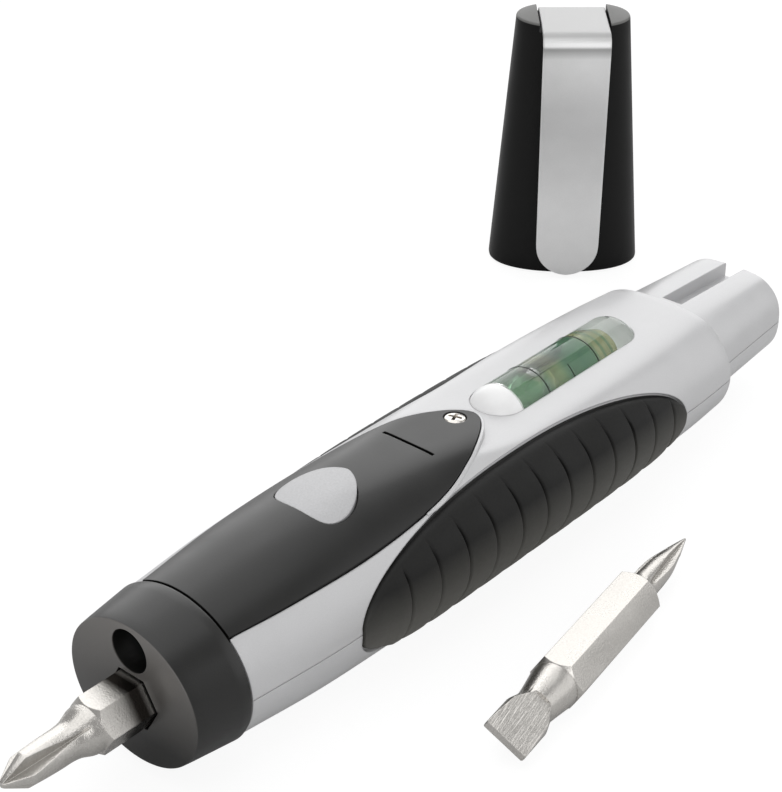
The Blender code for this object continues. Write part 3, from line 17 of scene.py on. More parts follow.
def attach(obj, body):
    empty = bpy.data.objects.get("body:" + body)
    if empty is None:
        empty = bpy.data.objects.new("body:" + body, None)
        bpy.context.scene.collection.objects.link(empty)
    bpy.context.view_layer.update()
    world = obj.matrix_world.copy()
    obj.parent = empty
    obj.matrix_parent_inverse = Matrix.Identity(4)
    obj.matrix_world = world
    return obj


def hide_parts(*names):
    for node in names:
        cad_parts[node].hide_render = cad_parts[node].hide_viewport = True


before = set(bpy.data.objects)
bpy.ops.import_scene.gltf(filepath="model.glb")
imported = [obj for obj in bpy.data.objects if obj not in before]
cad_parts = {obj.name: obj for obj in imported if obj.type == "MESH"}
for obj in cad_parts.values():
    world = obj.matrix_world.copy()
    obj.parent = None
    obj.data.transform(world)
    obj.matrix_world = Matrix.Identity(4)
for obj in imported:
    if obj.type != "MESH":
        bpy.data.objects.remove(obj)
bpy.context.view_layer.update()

# %% [markdown]
# ## The camera
# A product photographer stands a little way off and looks down at the nose of the pen with a
# short telephoto lens. A camera can be aimed with a constraint or with angles. Here its three
# axes are worked out from a height angle and a turn, so the view is exact.

# %% Camera
HEIGHT_ANGLE, TURN_ANGLE = math.radians(30.82), math.radians(-49.01)
back = Vector((math.sin(TURN_ANGLE) * math.cos(HEIGHT_ANGLE),
               -math.cos(TURN_ANGLE) * math.cos(HEIGHT_ANGLE), math.sin(HEIGHT_ANGLE)))
right = Vector((math.cos(TURN_ANGLE), math.sin(TURN_ANGLE), 0.0))
lens = bpy.data.cameras.new("studio_camera")
lens.sensor_width = 36.0
lens.lens = 92.07 * 782 / 792
lens.clip_start = 0.01
camera = bpy.data.objects.new("studio_camera", lens)
camera.matrix_world = Matrix((right, back.cross(right), back)).transposed().to_4x4()
camera.matrix_world.translation = (-0.16557, -0.13651, 0.15371)
bpy.context.scene.collection.objects.link(camera)
bpy.context.scene.camera = camera
bpy.context.scene.view_settings.view_transform = "Standard"
print("camera at", [round(v, 3) for v in camera.matrix_world.translation])

# %% [markdown]
# ## Working in millimetres
# The tool is small, so its sizes are easiest to write in millimetres, measured from the nose
# face along the pen. Four matrices carry finished meshes to their places in metres: the pen
# lies on its flat underside, its flat top slopes a little, the cap stands upright and the
# spare bit lies on the table.

# %% Places of the four groups
MM = Matrix.Diagonal((0.001, 0.001, 0.001, 1.0))
NOSE_X = -52.5
TOP_FLAT, SLOPE = 23.825, math.radians(3.25)
AXIS = 10.613
TORCH_HEIGHT, BIT_HEIGHT, SCREW_X = 16.588, 9.913, 56.55
PEN = MM @ Matrix.Translation((NOSE_X, 0.0, 0.0))
TILT = Matrix.Translation((0.0, 0.0, TOP_FLAT)) @ Matrix.Rotation(SLOPE, 4, "Y")
CAP = MM @ Matrix.Translation((84.0, 41.8, 0.0)) @ Matrix.Rotation(math.radians(-49.0), 4, "Z")
SPARE = (MM @ Matrix.Translation((-12.74, -29.37, 3.175))
         @ Matrix.Rotation(math.radians(8.42), 4, "Z"))
print("flat top falls", round(103.55 * math.tan(SLOPE), 2), "mm along the body")

# %% [markdown]
# ## Helpers that shape metal and plastic
# A turned part comes from a profile, a moulded part from sections, a punched part from an
# outline. Three small functions make these meshes, and one cuts them with the exact Boolean
# solver, which is what a mould maker does with cavities and cores.

# %% Smooth tables and outlines
def table(places, values, at):
    """Value of a smooth curve through a table of places."""
    at = min(max(at, places[0]), places[-1])
    k = max([0] + [i for i in range(len(places) - 1) if places[i] <= at])
    width = places[k + 1] - places[k]
    t = (at - places[k]) / width

    def slope(j):
        low, high = max(j - 1, 0), min(j + 1, len(places) - 1)
        return (values[high] - values[low]) / (places[high] - places[low])

    return (values[k] + (values[k + 1] - values[k]) * t * t * (3 - 2 * t)
            + slope(k) * width * t * (1 - t) ** 2 - slope(k + 1) * width * t * t * (1 - t))


def smooth_path(points, step, closed=False):
    """A smooth curve through points, resampled at an even step."""
    line = [Vector(p) for p in points]
    if closed:
        line = line + [line[0]]
    marks = [0.0]
    for a, b in zip(line, line[1:]):
        marks.append(marks[-1] + (b - a).length)
    if closed:
        total = marks[-1]
        marks = [m - total for m in marks[-4:-1]] + marks + [m + total for m in marks[1:4]]
        line = line[-4:-1] + line + line[1:4]
        start, stop = 0.0, total
    else:
        start, stop = marks[0], marks[-1]
    count = max(3, round((stop - start) / step))
    columns = list(zip(*line))
    places = [start + (stop - start) * k / count for k in range(count + (0 if closed else 1))]
    return [tuple(table(marks, column, at) for column in columns) for at in places]


def moved_outline(outline, distance):
    """The outline moved outwards along its own normals."""
    area = sum(a[0] * b[1] - b[0] * a[1] for a, b in zip(outline, outline[1:] + outline[:1]))
    side = distance if area > 0 else -distance
    moved = []
    for k, (x, y) in enumerate(outline):
        along = Vector(outline[(k + 1) % len(outline)]) - Vector(outline[k - 1])
        along.normalize()
        moved.append((x + side * along.y, y - side * along.x))
    return moved


print("a third of the way through a table:", round(table((0, 1, 2), (0, 3, 4), 0.33), 2))


# %% [markdown]
# ## Solids from sections, outlines and profiles
# Boat builders pull a skin over ribs, a punch makes a slice of one outline, and a lathe turns
# a profile. The same three ways make every mesh here. Primitives with modifiers would do for
# simple blocks, but a skin through exact points keeps closed seams and even faces.

# %% Solids from sections, outlines and profiles
def add(name, bm):
    """Put a mesh in the scene, still in millimetres, facing outwards."""
    bmesh.ops.recalc_face_normals(bm, faces=bm.faces)
    mesh = bpy.data.meshes.new(name)
    bm.to_mesh(mesh)
    bm.free()
    piece = bpy.data.objects.new(name, mesh)
    bpy.context.scene.collection.objects.link(piece)
    return piece


def loft(rings, name="loft"):
    """A skin through rings of equally many points, closed at both ends."""
    bm = bmesh.new()
    loops = [[bm.verts.new(p) for p in ring] for ring in rings]
    for low, high in zip(loops, loops[1:]):
        for k in range(len(low)):
            j = (k + 1) % len(low)
            bm.faces.new((low[k], low[j], high[j], high[k]))
    for end in (loops[0], loops[-1]):
        bm.faces.new(end)
    return add(name, bm)


def prism(outline, low, high):
    """An upright prism over an outline."""
    return loft([[(x, y, z) for x, y in outline] for z in (low, high)], "prism")


def lathe(profile, sides, name="lathe", matrix=None):
    """A turned solid about Z from (radius, height) pairs; ends on the axis are closed."""
    bm = bmesh.new()
    rings = []
    for radius, height in profile:
        if radius < 1e-6:
            rings.append([bm.verts.new((0.0, 0.0, height))])
        else:
            rings.append([bm.verts.new((radius * math.cos(2 * math.pi * k / sides),
                                        radius * math.sin(2 * math.pi * k / sides), height))
                          for k in range(sides)])
    for low, high in zip(rings, rings[1:]):
        for k in range(sides):
            corners = {low[k % len(low)]: 0, low[(k + 1) % len(low)]: 0,
                       high[(k + 1) % len(high)]: 0, high[k % len(high)]: 0}
            if len(corners) > 2:
                bm.faces.new(list(corners))
    piece = add(name, bm)
    if matrix is not None:
        piece.data.transform(matrix)
    return piece


def box(low, high, matrix=None):
    """A plain block, used only to cut."""
    bm = bmesh.new()
    bmesh.ops.create_cube(bm, size=1.0)
    bmesh.ops.scale(bm, verts=bm.verts, vec=[b - a for a, b in zip(low, high)])
    bmesh.ops.translate(bm, verts=bm.verts, vec=[(a + b) / 2 for a, b in zip(low, high)])
    piece = add("box", bm)
    if matrix is not None:
        piece.data.transform(matrix)
    return piece


ALONG_X = Matrix.Rotation(math.pi / 2, 4, "Y")
FLAT_UP = Matrix.Rotation(math.pi / 2, 4, "Z")
print("turned parts lie along", [round(v) for v in ALONG_X @ Vector((0, 0, 1))])


def rod(diameter, start, stop, height=0.0, side=0.0, sides=64):
    """A round or six-sided rod along the pen, used to bore holes."""
    radius = diameter / 2
    turn = Matrix.Translation((start, side, height)) @ ALONG_X @ FLAT_UP
    return lathe([(0, 0), (radius, 0), (radius, stop - start), (0, stop - start)], sides,
                 "rod", turn)


# %% [markdown]
# ## Cutting, joining and finishing
# A real mould gets its pockets from cores. Here a cutter does it, with the exact solver, because
# the result has to stay closed. The last helper moves a finished piece to its place, marks its
# sharp edges and hangs it on the body that moves it.

# %% Cutting, joining and finishing
def carve(piece, cutters, how="DIFFERENCE"):
    """Cut, join or intersect with the exact solver and leave a plain mesh."""
    for cutter in cutters:
        step = piece.modifiers.new("carve", "BOOLEAN")
        step.operation, step.solver, step.object = how, "EXACT", cutter
    bpy.context.view_layer.update()
    graph = bpy.context.evaluated_depsgraph_get()
    mesh = bpy.data.meshes.new_from_object(piece.evaluated_get(graph))
    piece.modifiers.clear()
    piece.data = mesh
    for cutter in cutters:
        bpy.data.objects.remove(cutter)
    return piece


def finish_piece(piece, name, body, slots, finish, place=PEN, sharp=32.0):
    """Move a piece to its place in metres, smooth it, and hang it on its body."""
    piece.data.transform(place)
    piece.name = piece.data.name = name
    piece.data.materials.clear()
    piece.data.materials.append(finish)
    piece.data.shade_smooth()
    if sharp < 180.0:
        piece.data.set_sharp_from_angle(angle=math.radians(sharp))
    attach(piece, body)
    if slots:
        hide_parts(*slots)
    print(f"{name}: {len(piece.data.polygons)} faces,",
          " x ".join(f"{v * 1000:.1f}" for v in piece.dimensions), "mm")
    return piece


# %% [markdown]
# ## Finishes
# The pen has few finishes: silver paint with fine flake, black satin plastic with spark-eroded
# grain, rubber, bright nickel, satin aluminium, clear acrylic and green liquid. Several share
# the same small effects, so grain and ground lines are node groups, built once and used with
# other values in each material.

# %% A group for fine grain
def new_group(name, inputs, outputs):
    """An empty shader group with number inputs and the named outputs."""
    group = bpy.data.node_groups.new(name, "ShaderNodeTree")
    for label, value in inputs.items():
        socket = group.interface.new_socket(label, in_out="INPUT", socket_type="NodeSocketFloat")
        socket.default_value = value
    for label, kind in outputs.items():
        group.interface.new_socket(label, in_out="OUTPUT", socket_type=kind)
    return group, group.nodes.new("NodeGroupInput"), group.nodes.new("NodeGroupOutput")


def node(tree, kind, inputs=None, **settings):
    """A new node: settings are its properties, inputs are values or sockets by label."""
    made = tree.nodes.new(kind)
    for label, value in settings.items():
        setattr(made, label, value)
    for label, value in (inputs or {}).items():
        if isinstance(value, bpy.types.NodeSocket):
            tree.links.new(value, made.inputs[label])
        else:
            made.inputs[label].default_value = value
    return made


def maths(tree, operation, *values):
    """A Math node whose inputs are numbers or sockets."""
    return node(tree, "ShaderNodeMath", dict(enumerate(values)), operation=operation).outputs[0]


def object_place(tree):
    return node(tree, "ShaderNodeTexCoord").outputs["Object"]


def grain_group():
    """Height and mask of a fine, even grain on Object coordinates."""
    group, enter, leave = new_group("surface_grain", {"Scale": 4000.0, "Detail": 2.0},
                                    {"Height": "NodeSocketFloat", "Patches": "NodeSocketFloat"})
    place, scale = object_place(group), enter.outputs["Scale"]
    fine = node(group, "ShaderNodeTexNoise",
                {"Vector": place, "Scale": scale, "Detail": enter.outputs["Detail"]})
    wide = node(group, "ShaderNodeTexNoise",
                {"Vector": place, "Scale": maths(group, "MULTIPLY", scale, 0.035), "Detail": 3.0})
    group.links.new(fine.outputs["Fac"], leave.inputs["Height"])
    group.links.new(wide.outputs["Fac"], leave.inputs["Patches"])
    return group


GRAIN = grain_group()
print("grain group:", len(GRAIN.nodes), "nodes")


# %% [markdown]
# ## Ground lines
# A grinding wheel leaves long fine scratches. Noise that is stretched along one axis gives the
# same look. A Wave texture would be more regular than real grinding.

# %% A group for ground or brushed lines
def lines_group():
    """Height of long fine lines along X, such as a grinding wheel leaves."""
    group, enter, leave = new_group("ground_lines", {"Scale": 3000.0, "Length": 0.03, "Skew": 0.0},
                                    {"Height": "NodeSocketFloat"})
    parts = node(group, "ShaderNodeSeparateXYZ", {0: object_place(group)}).outputs
    skewed = maths(group, "MULTIPLY", parts["X"], enter.outputs["Skew"])
    whole = node(group, "ShaderNodeCombineXYZ",
                 {"X": maths(group, "MULTIPLY", parts["X"], enter.outputs["Length"]),
                  "Y": maths(group, "SUBTRACT", parts["Y"], skewed),
                  "Z": maths(group, "MULTIPLY", parts["Z"], 0.2)})
    noise = node(group, "ShaderNodeTexNoise", {"Vector": whole.outputs[0],
                                               "Scale": enter.outputs["Scale"], "Detail": 3.0})
    group.links.new(noise.outputs["Fac"], leave.inputs["Height"])
    return group


LINES = lines_group()
print("line group:", len(LINES.nodes), "nodes")


# %% [markdown]
# ## One recipe for all opaque finishes
# Paint, plastic, rubber and plated steel differ in colour, shine and relief, but are built the
# same way: two colours blended by grain, roughness that drifts, a bump, and a soft edge from
# the Bevel node. Zones paint another colour between two places along an axis.

# %% One recipe for all opaque finishes
def mix_colours(tree, factor, *colours):
    """Mix of two colours, each plain or from a socket, by a socket."""
    low, high = (c if isinstance(c, bpy.types.NodeSocket) else (*c, 1.0) for c in colours)
    return node(tree, "ShaderNodeMix", {0: factor, 6: low, 7: high}, data_type="RGBA").outputs[2]


def place_group(tree, group, **values):
    """A group node with its own values."""
    return node(tree, "ShaderNodeGroup", values, node_tree=group)


def map_range(tree, value, source, target=(0.0, 1.0)):
    return node(tree, "ShaderNodeMapRange",
                {"Value": value, "From Min": source[0], "From Max": source[1],
                 "To Min": target[0], "To Max": target[1]}).outputs[0]


def ramp_of(tree, axis, start, stop):
    """Zero to one between two places along an object axis, or inside an egg, in millimetres."""
    value = object_place(tree)
    if axis != "EGG":
        value = node(tree, "ShaderNodeSeparateXYZ", {0: value}).outputs[axis]
        return map_range(tree, value, (start * 0.001, stop * 0.001))
    for operation, sizes in (("SUBTRACT", start), ("DIVIDE", stop)):
        value = node(tree, "ShaderNodeVectorMath", {0: value, 1: [v * 0.001 for v in sizes]},
                     operation=operation).outputs[0]
    far = node(tree, "ShaderNodeVectorMath", {0: value}, operation="LENGTH").outputs["Value"]
    return map_range(tree, far, (1.04, 1.0))


def with_zone(tree, colour, blend, zone):
    """Another colour where all of a zone's ramps are one."""
    shade, *ramps = zone
    mask = ramp_of(tree, *ramps[0])
    for ramp in ramps[1:]:
        mask = maths(tree, "MULTIPLY", mask, ramp_of(tree, *ramp))
    return mix_colours(tree, mask, colour,
                       mix_colours(tree, blend, [v * 0.8 for v in shade], shade))


def finish_of(name, dark, light, rough, metallic=0.0, grain=4000.0, depth=0.02, lines=None,
              edge=0.0, specular=0.5, zones=()):
    """A finish whose colour and roughness drift between two values, with fine relief."""
    mat = bpy.data.materials.new(name)
    mat.use_nodes = True
    tree = mat.node_tree
    shader = tree.nodes["Principled BSDF"]
    shader.inputs["Metallic"].default_value = metallic
    shader.inputs["Specular IOR Level"].default_value = specular
    mat.diffuse_color = (*light, 1.0)
    fine = place_group(tree, GRAIN, Scale=grain).outputs
    blend = maths(tree, "ADD", maths(tree, "MULTIPLY", fine["Height"], 0.55),
                  maths(tree, "MULTIPLY", fine["Patches"], 0.45))
    colour = mix_colours(tree, blend, dark, light)
    for zone in zones:
        colour = with_zone(tree, colour, blend, zone)
    tree.links.new(colour, shader.inputs["Base Color"])
    tree.links.new(map_range(tree, fine["Patches"], (0.3, 0.7), rough), shader.inputs["Roughness"])
    height = fine["Height"]
    if lines:
        scale, length, skew, strength, *ramps = lines
        ground = place_group(tree, LINES, Scale=scale, Length=length, Skew=skew)
        raised = maths(tree, "MULTIPLY", ground.outputs[0], strength)
        for ramp in ramps:
            raised = maths(tree, "MULTIPLY", raised, ramp_of(tree, *ramp))
        height = maths(tree, "ADD", raised, height)
    relief = {"Strength": 0.6, "Distance": depth * 0.001, "Height": height}
    if edge:
        soft = node(tree, "ShaderNodeBevel", {"Radius": edge * 0.001}, samples=6)
        relief["Normal"] = soft.outputs[0]
    tree.links.new(node(tree, "ShaderNodeBump", relief).outputs[0], shader.inputs["Normal"])
    return mat


# %% [markdown]
# ## The opaque finishes
# The silver paint is only a little metallic, since its flakes are fine. The cover and the cap
# are black with spark-eroded grain. Some zones imitate what the photograph shows as reflection:
# the bit's dark band by the collar and the clip's bright band and dark line. They are painted
# by place, so they stay when the lamps or the pose change. The clip's bright front and darker
# middle are painted reflections too. The paler top of the nose face and the paler cap top are
# painted sheen, and the rubber's paler lower part is painted light.

# %% The opaque finishes
SILVER = finish_of("silver_paint", (0.56, 0.56, 0.565), (0.69, 0.69, 0.70), (0.30, 0.38),
                   metallic=0.2, grain=7000, depth=0.006, edge=0.25)
BUTTON_SILVER = finish_of("grained_silver", (0.34, 0.34, 0.345), (0.56, 0.56, 0.57), (0.34, 0.46),
                          metallic=0.5, grain=4200, depth=0.03, edge=0.2)
BLACK = finish_of("black_satin_plastic", (0.003, 0.003, 0.003), (0.007, 0.007, 0.006),
                  (0.29, 0.36), grain=5200, depth=0.012, edge=0.15, specular=0.55)
# painted reflection: the cap's flat top face is paler than its sides
CAP_BLACK = finish_of("black_cap_plastic", (0.002, 0.002, 0.002), (0.005, 0.005, 0.005),
                      (0.36, 0.44), grain=5200, depth=0.010, edge=0.1, specular=0.22,
                      zones=[((0.17, 0.17, 0.165), ("Z", 42.25, 42.35))])
# painted sheen: the nose face grows paler towards its top
NOSE_BLACK = finish_of("black_nose_plastic", (0.005, 0.005, 0.005), (0.011, 0.011, 0.010),
                       (0.29, 0.36), grain=5200, depth=0.012, edge=0.1, specular=0.55,
                       zones=[((0.20, 0.19, 0.18), ("X", -52.3, -52.45), ("Z", 5.0, 20.0))])
# painted light: the rubber grows paler towards the bottom
RUBBER = finish_of("black_rubber", (0.003, 0.003, 0.003), (0.012, 0.012, 0.011), (0.50, 0.66),
                   grain=2600, depth=0.03, specular=0.32,
                   zones=[((0.22, 0.215, 0.195), ("Z", 14.0, 2.0))])
NICKEL = finish_of("bright_nickel", (0.62, 0.59, 0.55), (0.82, 0.79, 0.75), (0.16, 0.26),
                   metallic=1.0, grain=5200, depth=0.012, edge=0.12)
# painted reflections: bright at the bend, a dark line below it, bright down the front, and a little
# darker along the middle of the arm
CLIP_METAL = finish_of("satin_aluminium", (0.42, 0.42, 0.42), (0.50, 0.50, 0.50), (0.30, 0.36),
                       metallic=0.25, grain=8000, depth=0.004, edge=0.12,
                       zones=[((0.99, 0.99, 0.99), ("Z", 42.0, 41.4)),
                              ((0.50, 0.50, 0.50), ("Z", 40.7, 40.3)),
                              ((0.99, 0.99, 0.99), ("Z", 40.1, 38.6)),
                              ((0.80, 0.80, 0.80), ("Z", 37.5, 30.0), ("Z", 14.0, 26.0))])
STEEL = finish_of("machined_steel", (0.38, 0.38, 0.39), (0.55, 0.55, 0.56), (0.25, 0.38),
                  metallic=1.0, lines=(3500.0, 0.04, 0.0, 1.2), depth=0.01)
BRASS = finish_of("spring_brass", (0.62, 0.46, 0.19), (0.78, 0.60, 0.28), (0.22, 0.34),
                  metallic=1.0, depth=0.006)
BOARD = finish_of("board_green", (0.02, 0.12, 0.05), (0.04, 0.20, 0.08), (0.30, 0.45),
                  grain=2500, depth=0.01)
WHITE = finish_of("white_plastic", (0.92, 0.92, 0.92), (0.98, 0.98, 0.98), (0.22, 0.30),
                  grain=3000, depth=0.004)
MAGNET = finish_of("dark_ferrite", (0.05, 0.05, 0.055), (0.10, 0.10, 0.11), (0.4, 0.55),
                   metallic=0.4, depth=0.01)
print(len(bpy.data.materials), "materials so far")

# %% [markdown]
# ## The form of the body
# The silver body is an oval that swells from the nose to its middle, with a flat underside and
# a sloping flat top that turns level at the spirit level. It could be a subdivision cage. A
# table of widths and heights is easier to check against the photograph.

# %% Outer form of the body
LENGTH, WIDTH, HEIGHT, NECK = 103.55, 26.2, 22.425, 19.2
STATIONS = (0.0, 0.097, 0.193, 0.29, 0.386, 0.55, 0.772, 0.917, 1.0)
WIDTHS = (0.785, 0.863, 0.928, 0.954, 0.977, 0.995, 1.0, 0.989, 0.95)
HEIGHTS = (0.83, 0.893, 0.962, 1.0, 1.0, 0.991, 0.964, 0.893, 0.845)


def half_sizes(x, inset=0.0):
    """Half width and half height of the body at a distance from the nose face."""
    share = x / LENGTH
    return (table(STATIONS, WIDTHS, share) * WIDTH / 2 - inset,
            table(STATIONS, HEIGHTS, share) * HEIGHT / 2 - inset)


def power(value, exponent):
    return math.copysign(abs(value) ** (2.0 / exponent), value)


def soft_least(a, b, blend):
    """The smaller of two heights, with a soft change from one to the other."""
    near = max(blend - abs(a - b), 0.0) / blend
    return min(a, b) - near * near * blend / 4


LEVEL = 19.15
SINK_X = (46.0, 50.0, 54.0, 58.0, 62.0, 65.0)
SINK_Z = (21.21, 20.75, 20.0, 19.5, 19.2, LEVEL)


def slope_top(x):
    """Height of the sloping flat that the cover lies in."""
    return TOP_FLAT - x * math.tan(SLOPE)


def silver_top(x):
    """The silver follows the sloping flat, then sinks softly to the level flat at the vial."""
    return slope_top(x) if x < SINK_X[0] else table(SINK_X, SINK_Z, x)


def section(x, half_width, half_height, exponent=2.0, points=144, inset=0.0, blend=None,
            top=None):
    """One ring round the pen, with the flat top and the flat underside."""
    if blend is None:
        blend = min(1.6, 0.5 + max(0.0, x - 50.0) * 0.03)
    if top is None:
        top = slope_top(x) - inset
    ring = []
    for k in range(points):
        angle = 2 * math.pi * k / points
        y = half_width * power(math.cos(angle), exponent)
        z = AXIS + half_height * power(math.sin(angle), exponent)
        z = soft_least(z, top, blend)
        z = -soft_least(-z, -inset, 0.5)
        ring.append((x, y, z))
    return ring


def steps(start, stop, step):
    count = max(2, round((stop - start) / step))
    return [start + (stop - start) * k / count for k in range(count + 1)]


def body_form(start, stop, inset, step=2.0, points=144):
    """The body between two places, inset all round."""
    return loft([section(x, *half_sizes(x, inset), points=points, inset=inset)
                 for x in steps(start, stop, step)])


def whole_form(front):
    """Body, rounded shoulder, neck and rounded tail in one skin."""
    rings = [section(x, *half_sizes(x), top=silver_top(x))
             for x in steps(front, LENGTH - 0.8, 1.2)]
    for angle in (25, 45, 65, 80, 90):
        a = math.radians(angle)
        drop = 0.8 * (1 - math.cos(a))
        rings.append(section(LENGTH - 0.8 * (1 - math.sin(a)), *half_sizes(LENGTH, drop),
                             top=LEVEL - drop))
    neck = []
    for share in (0.0, 0.15, 0.3, 0.5, 0.7, 0.85, 1.0):
        taper = 1 - 0.14 * share
        x = LENGTH + (NECK - 0.8) * share
        neck.append((x, 10.0 * taper, 7.3 * (1 + taper) / 2))
    for x, half_width, half_height in neck:
        rings.append(section(x, half_width, half_height, 2.5, blend=0.5))
    for angle in (20, 40, 60, 75, 90):
        a = math.radians(angle)
        drop = 0.8 * (1 - math.cos(a))
        rings.append(section(LENGTH + NECK - 0.8 * (1 - math.sin(a)), neck[-1][1] - drop,
                             neck[-1][2] - drop, 2.5, blend=0.5))
    return loft(rings)


# %% [markdown]
# ## Outlines of cover and button
# The cover is a long leaf with a square front, the button an egg. Both are smooth curves through
# a few points, as a designer draws them, and can be moved outwards to leave a gap.

# %% Outlines of cover and button
COVER_X = (7.9, 17.64, 27.89, 38.14, 45.31, 50.95, 53.51, 55.56, 57.36, 58.64, 59.15)
COVER_Y = (6.88, 8.0, 8.6, 8.4, 7.6, 6.02, 4.95, 3.87, 2.67, 1.38, 0.43)
SKEW = -0.8


def cover_outline(offset=0.0, front=7.9):
    """The long cover seen from above, with a square front and a rounded point."""
    half = list(zip(COVER_X, COVER_Y))
    line = half + [(59.2, 0.0)] + [(x, -y) for x, y in reversed(half)]
    curve = moved_outline(smooth_path(line, 0.7), offset)
    return [(front if x < 8.3 else x, y + SKEW) for x, y in curve]


BUTTON = [(27.03, 0.0), (27.03, 0.8), (27.12, 2.4), (27.57, 4.0), (28.67, 4.85), (30.49, 5.0),
          (32.31, 4.45), (33.94, 3.4), (35.22, 2.05), (35.90, 0.85), (36.13, 0.0)]


def button_outline(offset=0.0):
    """The torch button seen from above."""
    line = BUTTON + [(x, -y) for x, y in reversed(BUTTON[1:-1])]
    return moved_outline(smooth_path(line, 0.45, closed=True), offset)


print("cover outline has", len(cover_outline()), "points, button", len(button_outline()))


# %% [markdown]
# ## Beds and pockets
# The level lies in a round-ended bed, a thin lip runs round the cover's point, and each grip
# lies in a recess that follows the body's side. These cutters are made first, a little larger
# than what lies in them.

# %% The shells
VIAL_HEIGHT, VIAL_FRONT, VIAL_REAR = 17.0, 65.45, 89.55
TUBE_RADIUS, BED_RADIUS, TROUGH_RADIUS, CRADLE_RADIUS = 4.3, 4.36, 4.56, 4.6
VIAL = Matrix.Translation((0.0, 0.0, VIAL_HEIGHT)) @ ALONG_X


def vial_profile(radius, start, points=15):
    """Profile of a round-ended rod along the vial, from its dome down to a flat start."""
    dome = [math.pi / 2 * k / (points - 1) for k in range(points)]
    return ([(radius * math.sin(a), VIAL_REAR + radius * math.cos(a)) for a in dome]
            + [(radius, start)])


def vial_bed(radius, top=None):
    """Cutter for the vial's bed, round at both ends, up to a given height."""
    arc = [math.pi / 2 * k / 16 for k in range(1, 17)]
    ends = [(radius * math.cos(a), VIAL_FRONT - radius * math.sin(a)) for a in arc]
    bed = lathe(vial_profile(radius, VIAL_FRONT, 17) + ends[:-1] + [(0.0, ends[-1][1])], 96,
                "bed", VIAL)
    if top is not None:
        carve(bed, [box((40, -20, top), (130, 20, 60))])
    return bed


def cover_rim():
    """Thin raised lip of the silver round the cover's point."""
    rim = prism(cover_outline(0.52), 18.3, 30)
    carve(rim, [prism(cover_outline(0.12), 10, 40)])
    return carve(rim, [body_form(40, 63.2, -0.10, 1.0, 160)], "INTERSECT")


def grip_section(share, margin, levels, lift_of):
    """Points of one grip's section on the body's side at a share of its length."""
    along = (2 * share - 1) * 0.996
    taper = max(0.0, 1 - abs(along) ** 2.3) ** (1 / 2.3)
    x = 57.775 + along * (32.975 + margin)
    reach = 8.613 * taper + margin
    half_width, half_height = half_sizes(x)
    ring = []
    for level in levels:
        z = AXIS - 0.3 + reach * level
        angle = math.asin(max(-0.97, min(0.97, (z - AXIS) / half_height)))
        lift = lift_of(level)
        ring.append((x + 1.6 * (1 - level * level) * taper * (1 - along * along),
                     (half_width + lift) * math.cos(angle),
                     AXIS + (half_height + lift) * math.sin(angle)))
    return ring


def grip_pocket(side):
    """Cutter for the recess that one grip lies in."""
    rings = []
    for k in range(91):
        share = (1 - math.cos(math.pi * k / 90)) / 2
        outer = grip_section(share, 0.12, [1 - j / 8 for j in range(17)], lambda level: 4.0)
        inner = grip_section(share, 0.12, [j / 8 - 1 for j in range(17)],
                             lambda level: -1.6 * (0.35 + 0.65 * (1 - level * level)))
        rings.append([(x, side * y, z) for x, y, z in outer + inner])
    return loft(rings, "grip_pocket")


# %% [markdown]
# ## The two shells
# The body is moulded in two halves that meet on a fine seam. Both start as the whole form and
# are hollowed. The upper one gets the cover pocket, the vial bed and the key groove, the lower
# one gets ribs and saddles for the works. Cutting one whole form keeps both halves in line.

# %% Cut the shells
# place along the pen, height of the top, half width
SADDLES = ((15.35, 14.8, 6.0), (28.58, 14.8, 6.0), (31.92, 14.8, 4.5), (52.05, 14.8, 4.5),
           (37.24, 8.61, 7.0), (48.67, 8.61, 7.0), (67.75, 13.61, 7.0), (87.55, 13.61, 7.0))


def shell(upper):
    """Upper or lower half of the silver body, hollow, with its pockets."""
    piece = whole_form(7.9)
    cutters = [body_form(3.9, 92.5, 2.4, 8.0, 48), rod(7.8, 94.5, 126.75, 9.013, sides=48),
               grip_pocket(1), grip_pocket(-1)]
    if upper:
        cutters.append(box((-20, -30, -30), (200, 30, AXIS + 0.06)))
        pocket = prism(cover_outline(0.12, 3.9), AXIS, 30)
        carve(pocket, [body_form(3.9, 63.2, 1.5, 2.0, 96)])
        window = [(10.6 + 42.35 * k / 20, 0.0) for k in range(21)]
        halves = [table(COVER_X, COVER_Y, x) - 1.6 for x, _ in window]
        outline = ([(x, h + SKEW) for (x, _), h in zip(window, halves)]
                   + [(x, -h + SKEW) for (x, _), h in reversed(list(zip(window, halves)))])
        cutters += [pocket, prism(outline, AXIS + 2, 30),
                    rod(5.6, 3.9, 11.8, TORCH_HEIGHT, sides=48)]
        groove = box((LENGTH + 2.4, -1.6, -2.2), (130, 1.6, 4), matrix=TILT)
        boss = lathe([(0, -7.6), (2.4, -7.6), (2.4, -1.2), (0, -1.2)], 32,
                     matrix=TILT @ Matrix.Translation((SCREW_X, 0, 0)))
        carve(piece, cutters[:5])
        carve(piece, [boss], "UNION")
        hole = lathe([(0, -12), (1.1, -12), (1.1, 4), (0, 4)], 24,
                     matrix=TILT @ Matrix.Translation((SCREW_X, 0, 0)))
        carve(piece, cutters[5:] + [groove, vial_bed(BED_RADIUS), vial_bed(CRADLE_RADIUS, 18.6),
                                    hole])
        return carve(piece, [cover_rim()], "UNION")
    cutters.append(box((-20, -30, AXIS - 0.06), (200, 30, 60)))
    carve(piece, cutters)
    walls = []
    for x, top, half in SADDLES:
        walls.append(box((x, -half, 1.2), (x + 1.3, half, top)))
    carve(piece, walls, "UNION")
    return carve(piece, [rod(9.83, 11.9, 31.8, BIT_HEIGHT),
                         box((11.9, -4.76, 9.9), (31.8, 4.76, 19)),
                         rod(12.2, 34.25, 51.05, 11.513), vial_bed(CRADLE_RADIUS)])


finish_piece(shell(True), "silver_body_top", "pen_body", ["upper_shell"], SILVER)
finish_piece(shell(False), "silver_body_base", "pen_body", ["lower_shell"], SILVER)


